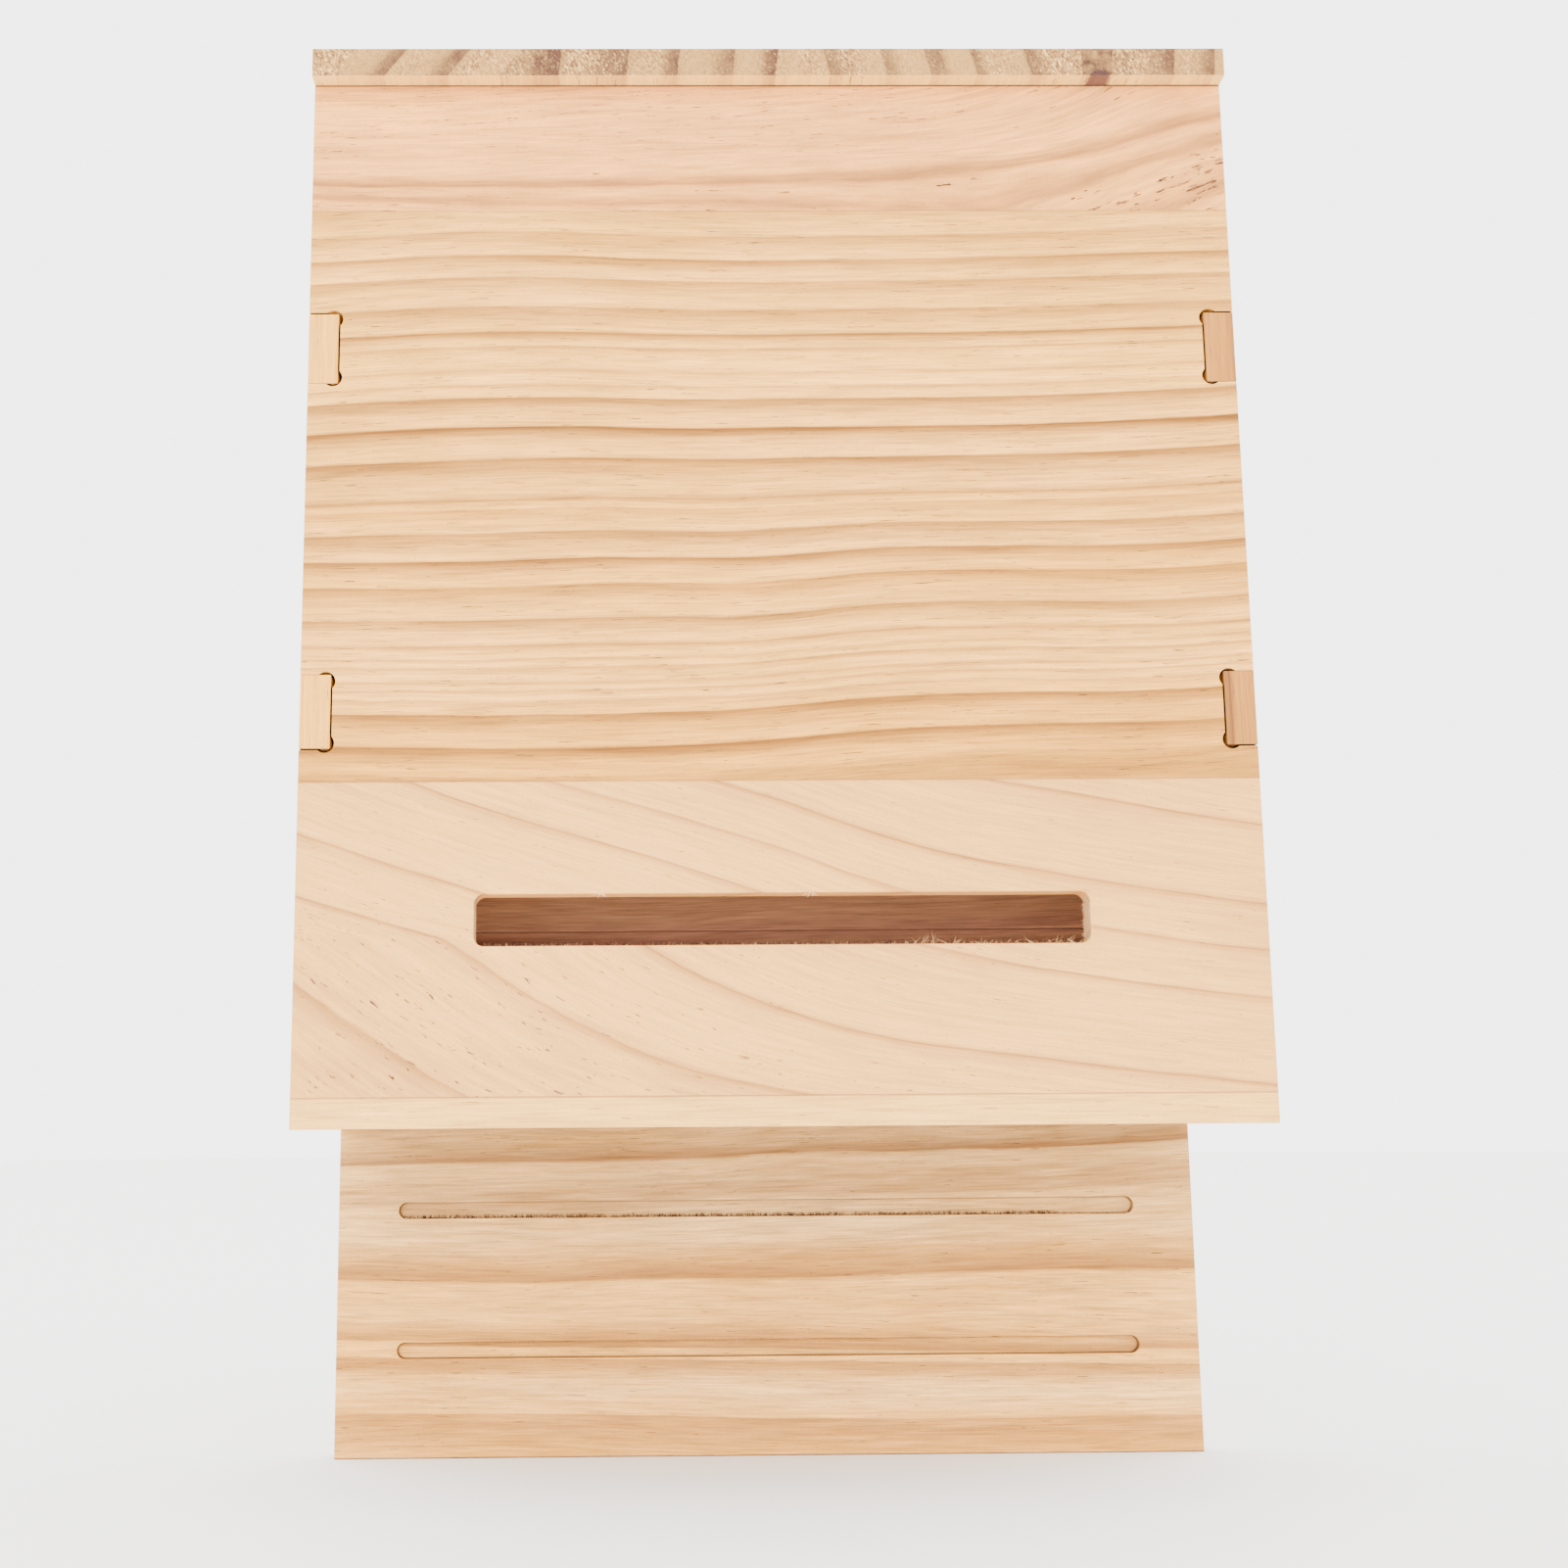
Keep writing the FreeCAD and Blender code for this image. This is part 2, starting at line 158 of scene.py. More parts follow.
# %% Lay the floor
FLOOR_RADIUS = 6.0              # metres
FLOOR_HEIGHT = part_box("back_board")[0][2]
floor_mesh = bpy.data.meshes.new("floor")
floor_bm = bmesh.new()
bmesh.ops.create_circle(floor_bm, cap_ends=True, segments=96, radius=FLOOR_RADIUS)
bmesh.ops.translate(floor_bm, verts=floor_bm.verts, vec=(0, 0, FLOOR_HEIGHT))
floor_bm.to_mesh(floor_mesh)
floor_bm.free()
floor = bpy.data.objects.new("floor", floor_mesh)
bpy.context.scene.collection.objects.link(floor)
floor_paint = bpy.data.materials.new("matt_white_paint")
floor_paint.use_nodes = True
floor_shader = floor_paint.node_tree.nodes["Principled BSDF"]
floor_shader.inputs["Base Color"].default_value = linear("#F4F4F2")
floor_shader.inputs["Roughness"].default_value = 0.9
floor_mesh.materials.append(floor_paint)
print("floor at z", round(FLOOR_HEIGHT, 4))

# %% [markdown]
# ## How pine looks
# A pine board shows the years of the tree. Each year starts with wide pale cells and ends with
# narrow brown ones, and then the next year starts abruptly, so every line has one crisp side
# and one that fades. The lines bend where a knot or the trunk's taper was near. Between them
# are fine fibres along the grain, and short dark dashes where a resin duct was cut open.
#
# A wave texture could draw lines, but evenly, and boards aren't even. Here a number counts the
# years across the board, with stops at the heights in millimetres where the lines really are,
# and the part after the decimal point says how far into its year a point is. The wood is solid,
# so the same sum also draws the years through the thickness, on the edges and the cut ends.

# %% Bend the grain
BEND_RANGE = 200.0      # mm, from the deepest dip to the highest rise that a curve can hold


def grain_height(tree, along, across, reach, bends):
    """How far up the board a point's year was before the grain bent, in mm.

    bends is a list of (height, [(place along the board, rise), ...]), from low to high. Between
    two heights the rise is blended."""
    start, end = reach
    share = put(tree, "MapRange", along, start, end, 0.0, 1.0)
    rises = []
    for _, points in bends:
        curve = put(tree, "FloatCurve", 1.0, share)
        line = curve.mapping.curves[0]
        while len(line.points) < len(points):
            line.points.new(0.5, 0.5)
        for dot, (place, rise) in zip(line.points, points):
            dot.location = ((place - start) / (end - start), rise / BEND_RANGE + 0.5)
        curve.mapping.update()
        rises.append(put(tree, "Math MULTIPLY", put(tree, "Math SUBTRACT", curve, 0.5),
                         BEND_RANGE))
    blended = rises[0]
    for (low, _), (high, _), upper in zip(bends, bends[1:], rises[1:]):
        blended = put(tree, "Mix", put(tree, "MapRange", across, low, high, 0.0, 1.0), blended,
                      upper)
    return put(tree, "Math SUBTRACT", across, blended)


print("grain bends by up to", BEND_RANGE / 2, "mm")

# %% Count the years
WIDEST_YEAR = 40.0      # mm
USUAL_TORN = 0.25       # for a stop that doesn't say how torn its wood is
Year = namedtuple("Year", "phase line ground width late torn gold")


def years_at(tree, height, stops, late_mm):
    """Read a board's years at a height, from stops of (mm, count, line, ground, late, torn, gold).

    count numbers the years, line is how strong the line is, ground how brown the wood between is,
    late how many mm the brown takes to fade, torn how torn a cut end is and how many resin ducts
    lie open on a face, and gold how resinous the wood is. The last three may be left out."""
    stops = [tuple(stop) + (late_mm, USUAL_TORN, 0.0)[len(stop) - 4:] for stop in stops]
    most = max(abs(stop[1]) for stop in stops) + 1
    counts, looks = [], []
    for i, (mm, count, line, ground, late, torn, gold) in enumerate(stops):
        younger = min(stops[max(i - 1, 0):i + 2], key=lambda stop: stop[1])
        width = abs(younger[0] - mm) / max(abs(younger[1] - count), 0.01)
        counts.append((0.5 + 0.5 * count / most, line, ground, min(width / WIDEST_YEAR, 1.0)))
        looks.append((late / WIDEST_YEAR, torn, gold, 1.0))
    low, high = stops[0][0], stops[-1][0]
    share = put(tree, "MapRange", height, low, high, 0.0, 1.0)
    ramps = []
    for colours in (counts, looks):
        ramp = put(tree, "ValToRGB", share)
        dots = ramp.color_ramp.elements
        while len(dots) < len(stops):
            dots.new(1.0)
        for dot, stop, colour in zip(dots, stops, colours):
            dot.position = (stop[0] - low) / (high - low)
            dot.color = colour
        ramps.append(ramp)
    count, line, ground = put(tree, "SeparateColor", ramps[0]).outputs
    late, torn, gold = put(tree, "SeparateColor", ramps[1]).outputs
    return Year(put(tree, "Math FRACT", put(tree, "MapRange", count, 0.0, 1.0, -most, most)),
                line, ground,
                put(tree, "Math MULTIPLY", ramps[0].outputs["Alpha"], WIDEST_YEAR),
                put(tree, "Math MULTIPLY", late, WIDEST_YEAR), torn, gold)


print("years up to", WIDEST_YEAR, "mm wide")

# %% [markdown]
# ## One recipe, many boards
# Each board gets its own finish from one recipe, because no two boards of a box come from the
# same place in a tree. What changes is the way the grain runs, the years, and the tones: the
# pale early wood, the brown late wood and a pinkish or yellowish drift. The recipe is a row of
# short steps. Each looks at one thing in the wood and says how much of it shows at a point, and
# at the end these shares lay one tone over another; some of these tones are painted shade.
#
# All noise is measured in mm along the grain, across it and into the board. A plain noise would
# be round, so it is drawn out along the grain, and most of it follows the bent year lines.


# %% Measure the wood along its grain
BOARDS_APART = 7.3      # in the noise, so that no patch comes back on the next board
CLOUD_ROUGHNESS = 0.55


class Wood:
    """One board's finish in the making: its nodes, its axes in mm, and noise that follows them.

    The recipe adds what it reads in the wood: its height, cut, brown, fibres and so on."""

    def __init__(self, name, along, across, deep, restless, seed):
        self.material = bpy.data.materials.new(name)
        self.material.use_nodes = True
        self.tree = self.material.node_tree
        self.tree.nodes.clear()
        self.add = partial(put, self.tree)
        self.restless, self.seed = restless, seed
        place = self.add("TexCoord").outputs
        self.where = self.add("VectorMath MULTIPLY", place["Object"], (1 / MM,) * 3)
        self.axes = self.add("SeparateXYZ", self.where).outputs
        self.u, self.v, self.w = self.axes[along], self.axes[across], self.axes[deep]
        facing = self.add("SeparateXYZ", place["Normal"]).outputs
        self.facing_end, self.facing_edge = facing[along], facing[across]

    def place_in(self, long, wide, bent):
        """A point's place, counted in patches this long and this wide in mm."""
        return self.add("CombineXYZ", self.add("Math DIVIDE", self.u, long),
                        self.add("Math DIVIDE", self.height if bent else self.v, wide),
                        self.add("Math DIVIDE", self.w, wide))

    def cloud(self, long, wide, detail=2.0, shift=0.0, bent=False):
        """Noise in patches about this long and this wide, in mm, along the board or bent with
        its year lines. Each shift gives another one."""
        return self.add("TexNoise", self.place_in(long, wide, bent),
                        self.seed * BOARDS_APART + shift, 1.0, detail, CLOUD_ROUGHNESS,
                        noise_dimensions="4D").outputs["Fac"]

    def swings(self, value, size):
        """Noise as a factor about 1, so many times stronger or weaker at its ends."""
        size *= self.restless
        return self.add("MapRange", value, 0.3, 0.7, 1 - size, 1 + size)


# %% Let the lines waver
def wavy(wood, height, wobble):
    """The year lines' height with the small bends that fibres make, from long to short ones."""
    for long, wide, size in ((90.0, 26.0, wobble), (22.0, 7.0, wobble * 0.35), (5.0, 1.2, 0.12)):
        off = wood.add("Math SUBTRACT", wood.cloud(long, wide, shift=long), 0.5)
        height = wood.add("Math MULTIPLY_ADD", off, 2.0 * size, height)
    return height


# %% The brown of the late wood
def late_brown(wood, year, fade, edge, soft):
    """How brown a point is: crisp where the next year starts, streaky where the brown fades."""
    add = wood.add
    before_line = add("Math MULTIPLY", add("Math SUBTRACT", 1.0, year.phase), year.width)
    streaks = wood.swings(wood.cloud(38.0, 0.9, detail=3.0, shift=3.5, bent=True), 0.6)
    late_part = add("Math MINIMUM", year.late, add("Math MULTIPLY", year.width, 0.4))
    faded = add("Math DIVIDE", add("Math MULTIPLY", before_line, streaks), late_part)
    late_wood = add("Math DIVIDE", 1.0, add("Math ADD", add("Math POWER", faded, fade), 1.0))
    after_line = add("Math MULTIPLY", year.phase, year.width)
    spilled = add("Math EXPONENT", add("Math DIVIDE", after_line, -soft))
    late_wood = add("Math MAXIMUM", late_wood, spilled)
    dark_edge = add("Math EXPONENT", add("Math DIVIDE", before_line, -0.5))
    strength = add("Math MULTIPLY", year.line, wood.swings(wood.cloud(70.0, 4.0, shift=3.0), 0.35))
    brown = add("Math MULTIPLY", strength, add("Math MULTIPLY_ADD", dark_edge, edge, late_wood))
    ground = wood.swings(wood.cloud(60.0, 2.5, detail=3.0, shift=4.0, bent=True), 0.9)
    ground = add("Math MULTIPLY", year.ground, ground)
    return add("Math ADD", brown, ground, use_clamp=True)


# %% [markdown]
# ## Fibres, ducts, torn cells and knots
# Pine fibres are a few hundredths of a millimetre wide, which the picture can't show, so the
# finest noise here is 0.4 mm wide and reads as fibre. A resin duct is a tenth of a millimetre
# thick and opens as a dash of a few millimetres. Noise with a threshold could draw dashes, but
# each cell of a Voronoi texture has random numbers of its own, so every duct gets a length and
# a darkness, and how many there are can change over the board. A saw tears weak cells out of a
# cut end, and a knot is a branch that the board's saw went through.

# %% Fibres and grit
def fine_noises(wood):
    """The fine fibres, the broad ones, and the grit of the sandpaper, each from -1 to 1."""
    fibres, broad = [wood.add("MapRange", cloud, 0.25, 0.75, -1.0, 1.0) for cloud in (
        wood.cloud(14.0, 0.42, detail=3.0, shift=5.0, bent=True),
        wood.cloud(30.0, 1.6, shift=6.0, bent=True))]
    grit = wood.add("TexNoise", wood.where, wood.seed, 1.6, 2.0, 0.6, noise_dimensions="4D")
    return fibres, broad, wood.add("MapRange", grit, 0.3, 0.7, -1.0, 1.0)


# %% Resin ducts cut open: long thin dark dashes that follow the lines
DUCT_CELLS = 5.0        # cells to a patch; in each one at most one duct
HALF_DUCT = 0.018       # of a patch, half of a duct's thickness
DUCT_PATCH = 2.4        # mm across the grain


def duct_dashes(wood, torn, ducts, duct_mm):
    """Where an open duct shows: in some cells, and more of them where the wood is torn."""
    add = wood.add
    place = wood.place_in(duct_mm, DUCT_PATCH, bent=True)
    cells = add("TexVoronoi", place, DUCT_CELLS, 1.0, feature="F1").outputs
    off = add("SeparateXYZ", add("VectorMath SUBTRACT", cells["Position"], place)).outputs
    dice = add("SeparateColor", cells["Color"]).outputs
    half_long = add("Math MULTIPLY_ADD", dice[1], 0.24, 0.06)
    long_part = add("Math SUBTRACT", 1.0,
                    add("Math DIVIDE", add("Math ABSOLUTE", off[0]), half_long), use_clamp=True)
    thin_part = add("Math SUBTRACT", 2.0,
                    add("Math DIVIDE", add("Math ABSOLUTE", off[1]), HALF_DUCT), use_clamp=True)
    dash = add("Math MULTIPLY", add("Math POWER", long_part, 0.4), thin_part)
    chosen = add("Math LESS_THAN", dice[0], add("Math MULTIPLY", torn, ducts))
    dash = add("Math MULTIPLY", dash, chosen)
    darkness = add("Math MULTIPLY_ADD", dice[2], 0.6, 0.4)
    return add("Math MULTIPLY", dash, add("MapRange", wood.cut, 0.0, 1.0, darkness, 0.0))


# %% Cells torn open by the saw, on cut ends only
def torn_cells(wood):
    """Noise over a cut end, askew to the years: low where a pit is, high where a shred stands."""
    add = wood.add
    askew = add("CombineXYZ",
                add("Math DIVIDE", add("Math MULTIPLY_ADD", wood.w, 0.5, wood.v), 0.65),
                add("Math DIVIDE", add("Math MULTIPLY_ADD", wood.v, -0.5, wood.w), 1.4),
                add("Math DIVIDE", wood.u, 3.0))
    return add("TexNoise", askew, wood.seed, 1.0, 3.0, 0.65,
               noise_dimensions="4D").outputs["Fac"]


# %% A knot
def knot_share(wood, centre, size):
    """Where a branch's wood is, in an egg shape about a point in mm, with a ragged edge."""
    off = wood.add("VectorMath SUBTRACT", wood.where, centre)
    away = wood.add("VectorMath LENGTH", wood.add("VectorMath DIVIDE", off, size)).outputs["Value"]
    ragged = wood.add("Math MULTIPLY_ADD", wood.grit, 0.12, away)
    return wood.add("MapRange", ragged, 0.75, 1.1, 1.0, 0.0)


# %% [markdown]
# ## Where the wood was worked
# Sanded pine without oil has next to no gloss, so the roughness is high and the specular level
# is below the usual 0.5. Where a board is cut across, its open cells drink the light and it
# looks greyer and darker. The faces that look into the chamber are left rough from the saw, so
# that claws hold, and their colour is darkened as painted shade of the dim chamber. The walls of
# the grooves and the crevices get painted shade, and glue leaves a thin dark line.

# %% The chamber's rough faces and their painted shade
CHAMBER_HALF_WIDTH = 140.7      # mm, a little past the sides' inner faces
CHAMBER_FRONT, CHAMBER_BACK = -103.1, -6.9
CHAMBER_TOP = 60.5              # a little into the roof's underside
# the chamber's painted shade fades out over the same stretch
SANDING_AND_SHADE_FADE = (-284.0, -266.0)   # the sanding fades out over this stretch of height


# the share of the chamber's rough relief and of its painted shade
def rough_share(wood):
    """Where a point is on one of the faces that look into the chamber."""
    add = wood.add
    x, y, z = wood.axes
    rough = add("Math MULTIPLY", add("Math LESS_THAN", add("Math ABSOLUTE", x),
                                     CHAMBER_HALF_WIDTH),
                add("Math MULTIPLY", add("Math GREATER_THAN", y, CHAMBER_FRONT),
                    add("Math LESS_THAN", y, CHAMBER_BACK)))
    rough = add("Math MULTIPLY", rough, add("Math LESS_THAN", z, CHAMBER_TOP))
    return add("Math MULTIPLY", rough, add("MapRange", z, *SANDING_AND_SHADE_FADE, 0.0, 1.0))


# %% Grooves, glue lines and crevices
CREVICE_REACH = MM      # how near another surface is where a crevice looks dark


def groove_wall_painted_shade(wood, depth_at, shade_share):
    """Where painted shade lies on a groove's walls, by the way it faces and how deep it lies."""
    wall = wood.add("Math ABSOLUTE", wood.facing_edge)
    wall = wood.add("MapRange", wall, 0.3, 0.8, 0.0, shade_share)
    sunk = wood.add("MapRange", wood.w, depth_at + 0.1, depth_at + 0.6, 0.0, 1.0)
    return wood.add("Math MULTIPLY", wall, sunk)


def seam_line(wood, place, darkness):
    """The thin line where two boards meet, at a place across the grain."""
    beside = wood.add("Math ABSOLUTE", wood.add("Math SUBTRACT", wood.v, place))
    return wood.add("MapRange", beside, 0.15, 0.4, darkness, 0.0)


def painted_crevice_shade(wood):
    """Painted shade where another surface shuts out the light."""
    open_sky = wood.add("AmbientOcclusion", None, CREVICE_REACH, samples=6).outputs["AO"]
    return wood.add("MapRange", open_sky, 0.8, 0.5, 0.0, 0.98)


# %% Tones that all boards share
DUCT_TONE = "#3E2212"
RESIN_TONE = "#EDA230"
PIT_TONE = "#5E3422"
# the tone of glue lines, and of painted shade on groove walls and under the roof
SEAM_AND_SHADE_TONE = "#6A4026"
# the tone of the painted shade in crevices
CREVICE_SHADE_TONE = "#3C261C"
SHRED_TONE = "#F9D084"
KNOT_TONE, CUT_KNOT_TONE = "#6E4C3E", "#3E231D"
# the chamber's sawn faces, darkened as painted shade
SAWN_AND_SHADE_TONE = "#946551"
WOOD_IOR = 1.5
WOOD_SPECULAR = 0.2
SANDED_ROUGHNESS = 0.68


def layered(wood, colour, layers):
    """Lay tones over a colour, each by its share."""
    for share, tone in layers:
        colour = wood.add("Mix", share, colour, tone, data_type="RGBA")
    return colour


def shaded(wood, colour, shade):
    """Make a colour paler or darker by a factor."""
    return wood.add("VectorMath MULTIPLY", colour, wood.add("CombineXYZ", shade, shade, shade))


# %% The colours that grew
def grown_colour(wood, tones, drift, fibre, knots):
    """Drifting early wood, resin and late wood, and over them ducts, torn cells and knots."""
    early, late, blush, cut_early, cut_late = [linear(tone) for tone in tones]
    add = wood.add
    slow = add("MapRange", wood.cloud(120.0, 30.0, shift=9.0), 0.35, 0.65, 0.0, drift)
    patches = add("MapRange", wood.cloud(24.0, 1.4, detail=3.0, shift=8.0, bent=True),
                  0.3, 0.7, -0.5 * drift, 0.5 * drift)
    pits = add("MapRange", wood.shreds, 0.46, 0.41, 0.0, 0.95)
    pale_shreds = add("MapRange", wood.shreds, 0.56, 0.62, 0.0, 0.6)
    layers = [(add("Math ADD", slow, patches, use_clamp=True), blush),
              (wood.gold, linear(RESIN_TONE)), (wood.cut, cut_early),
              (wood.brown, layered(wood, late, [(wood.cut, cut_late)])),
              (wood.dash, linear(DUCT_TONE)),
              (add("Math MULTIPLY", wood.torn, pits), linear(PIT_TONE)),
              (add("Math MULTIPLY", wood.torn, pale_shreds), linear(SHRED_TONE))]
    for centre, size in knots:
        knot_tone = layered(wood, linear(KNOT_TONE), [(wood.cut, linear(CUT_KNOT_TONE))])
        layers.append((knot_share(wood, centre, size), knot_tone))
    shade = add("Math MULTIPLY_ADD", wood.fibres, fibre,
                add("Math MULTIPLY_ADD", wood.broad_fibres, 0.6 * fibre, 1.0))
    gritty = add("Math MULTIPLY_ADD", wood.cut, 0.16, 0.06)
    shade = add("Math MULTIPLY_ADD", wood.grit, gritty, shade)
    return shaded(wood, layered(wood, early, layers), shade)


# %% The colours that the work left, and painted shade
# the sawn tone, darkened as painted shade, covers this much of the chamber's faces
SAWN_AND_SHADE_SHARE = 0.75       # how much of the chamber's faces the saw's fuzz hides


def worked_colour(wood, colour, depth_at, groove_shade, seams):
    """Lay the saw's marks, painted shade on the chamber, groove walls and crevices, and seam lines
    over a colour.
    """
    shade = wood.add("Math MULTIPLY_ADD", wood.fibres, 0.3,
                     wood.add("Math MULTIPLY_ADD", wood.broad_fibres, 0.2, 1.0))
    sawn_and_shaded = shaded(wood, linear(SAWN_AND_SHADE_TONE)[:3], shade)
    layers = [(wood.add("Math MULTIPLY", wood.rough, SAWN_AND_SHADE_SHARE), sawn_and_shaded)]
    # painted shade on the grooves' walls
    if groove_shade:
        layers.append((groove_wall_painted_shade(wood, depth_at, groove_shade), linear(SEAM_AND_SHADE_TONE)))
    layers += [(seam_line(wood, *seam), linear(SEAM_AND_SHADE_TONE)) for seam in seams]
    layers.append((painted_crevice_shade(wood), linear(CREVICE_SHADE_TONE)))
    return layered(wood, colour, layers)


# %% The relief
RELIEF = 0.1 * MM
RELIEF_STRENGTH, RELIEF_FILTER = 0.3, 0.01


def relief(wood):
    """Late wood and fibres stand up, more so where the saw left them, and ducts are sunk."""
    add = wood.add
    lift = add("Math MULTIPLY_ADD", wood.brown, 0.5, add("Math MULTIPLY", wood.fibres, 0.5))
    lift = add("Math MULTIPLY_ADD", wood.rough, add("Math MULTIPLY", wood.broad_fibres, 2.0), lift)
    shreds = add("MapRange", wood.shreds, 0.35, 0.65, -3.0, 3.0)
    lift = add("Math MULTIPLY_ADD", wood.torn, shreds, lift)
    lift = add("Math SUBTRACT", lift, wood.dash)
    return add("Bump", RELIEF_STRENGTH, RELIEF, RELIEF_FILTER, lift)


# %% The recipe for sanded pine
# along, across and deep are the axes of the grain in this board, and reach its two ends. tones
# are early wood, late wood, the drift's blush, and early and late wood cut across. lean is how
# far the years climb for each mm below the face at depth_at. late_mm, fade, edge and soft shape
# the brown lines, and restless is how unevenly they are drawn. wobble, drift, fibre and ducts
# say how much of each there is, and the groove parameter how much painted shade darkens a
# groove's walls. duct_mm is the length of a patch of ducts. knots are (middle, half sizes) in
# mm, and seams (place across the grain, darkness).
def sanded_pine(name, along, across, deep, reach, bends, years, tones, lean=0.4, depth_at=0.0,
                late_mm=2.0, fade=2.5, edge=0.2, soft=0.5, wobble=0.8, drift=0.5, fibre=0.14,
                ducts=0.5, duct_mm=34.0, restless=0.6, knots=(), seams=(), groove_shade=0.0, seed=0.0):
    wood = Wood(name, along, across, deep, restless, seed)
    add = wood.add
    height = grain_height(wood.tree, wood.u, wood.v, reach, bends)
    height = add("Math MULTIPLY_ADD", add("Math SUBTRACT", wood.w, depth_at), lean, height)
    wood.height = wavy(wood, height, wobble)
    year = years_at(wood.tree, wood.height, years, late_mm)
    wood.cut = add("MapRange", add("Math ABSOLUTE", wood.facing_end), 0.6, 0.9, 0.0, 1.0)
    wood.torn, wood.gold = add("Math MULTIPLY", year.torn, wood.cut), year.gold
    wood.brown = late_brown(wood, year, fade, edge, soft)
    wood.fibres, wood.broad_fibres, wood.grit = fine_noises(wood)
    wood.dash = duct_dashes(wood, year.torn, ducts, duct_mm)
    wood.shreds, wood.rough = torn_cells(wood), rough_share(wood)
    colour = grown_colour(wood, tones, drift, fibre, knots)
    shader = add("BsdfPrincipled", worked_colour(wood, colour, depth_at, groove_shade, seams))
    for socket, value in (("Normal", relief(wood)), ("Roughness", SANDED_ROUGHNESS),
                          ("IOR", WOOD_IOR), ("Specular IOR Level", WOOD_SPECULAR)):
        feed(wood.tree, shader.inputs[socket], value)
    add("OutputMaterial", shader)
    return wood.material


def dress(node, material):
    """Put a finish on every slot of a packed board."""
    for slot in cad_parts[node].material_slots:
        slot.material = material
    print(node, "is dressed in", material.name)


# %% [markdown]
# ## The front panel
# Four staves are glued edge to edge. The top one is pinkish, with two brown bands that climb to
# the right. The wide one is yellowish, sawn across the years, so it has close level lines. The
# slotted one is cream, sawn askew, with thin lines that fall to the right. The lowest is a
# narrow pale strip.

# %% The top stave
WIDTH = (-150.0, 150.0)  # mm, the panel's two ends
FRONT = -112.4          # mm, where its face lies
top_pine = sanded_pine(
    "sanded_pine_top_stave", "X", "Z", "Y", WIDTH,
    [(15.6, [(-150, -4.1), (-100, -5.1), (-50, -5.8), (0, -6.4), (60, -6.9), (90, -5.6),
             (120, -2.7), (150, 1.1)]),
     (32.0, [(-150, 1.7), (-100, 2.3), (-50, 3.1), (0, 3.9), (60, 5.5), (90, 6.8), (120, 9.1),
             (150, 12.0)]),
     (60.0, [(-150, 7.7), (-100, 8.6), (-50, 9.8), (0, 11.4), (60, 15.8), (90, 21.0),
             (120, 27.5), (150, 30.5)])],
    [(5.0, 3.0, 0.2, 0.16, 3, 0.1), (14.0, 2.3, 0.3, 0.15, 3, 0.12),
     (16.9, 2.0, 0.46, 0.13, 3, 0.5), (20.5, 1.4, 0.3, 0.1, 3, 0.5),
     (22.5, 1.0, 0.42, 0.1, 3, 0.15),
     (25.6, 0.0, 0.6, 0.08, 3.4, 0.05), (29.5, -0.9, 0.1, 0.05, 3, 0.08),
     (42.0, -1.4, 0.2, 0.04, 3, 0.28), (48.0, -1.6, 0.2, 0.04, 3, 0.2)],
    ("#E69D4E", "#6E3E18", "#C2824A", "#C08C4A", "#6A3C1C"), depth_at=FRONT, drift=0.45,
    edge=0.0, ducts=0.75, duct_mm=24.0, fibre=0.26, soft=0.5, restless=0.15,
    # the seam at 60 mm, where the roof sits on the stave, is painted shadow of the gap under the
    # roof
    seams=((60.0, 0.7), (15.6, 0.25)), seed=1.0)
dress("front_stave_top", top_pine)

# %% The wide stave
CLOSE = 1.1     # mm that the brown takes to fade where the years lie close
WIDE_YEARS = [
    # (mm, line strength, how brown the wood between is, late mm, torn, gold)
    (-173.0, 0.3, 0.24, 3.6, 0.25, 0.5), (-162.6, 0.6, 0.24, 3.6, 0.25, 0.5),
    (-152.0, 0.6, 0.24, 3.6, 0.25, 0.4), (-147.7, 0.3, 0.1, CLOSE),
    (-144.5, 0.4, 0.03, CLOSE), (-142.0, 0.4, 0.02, CLOSE), (-137.4, 0.45, 0.02, CLOSE),
    (-134.7, 0.3, 0.03, CLOSE), (-130.6, 0.5, 0.08, CLOSE), (-122.4, 0.55, 0.14),
    (-111.7, 0.5, 0.17, 3.6, 0.25, 0.35), (-103.4, 0.7, 0.14), (-94.6, 0.55, 0.16),
    (-87.0, 0.3, 0.12, 3.6, 0.25, 0.35), (-84.0, 0.5, 0.14), (-71.2, 0.6, 0.18),
    (-60.6, 0.78, 0.14), (-50.6, 0.7, 0.06),
    (-46.2, 0.35, 0.0, CLOSE), (-41.2, 0.35, 0.0, CLOSE), (-33.0, 0.4, 0.06, CLOSE),
    (-28.2, 0.7, 0.08), (-19.4, 0.5, 0.1), (-9.3, 0.45, 0.12), (-1.8, 0.6, 0.1),
    (6.4, 0.4, 0.12), (16.0, 0.35, 0.16)]
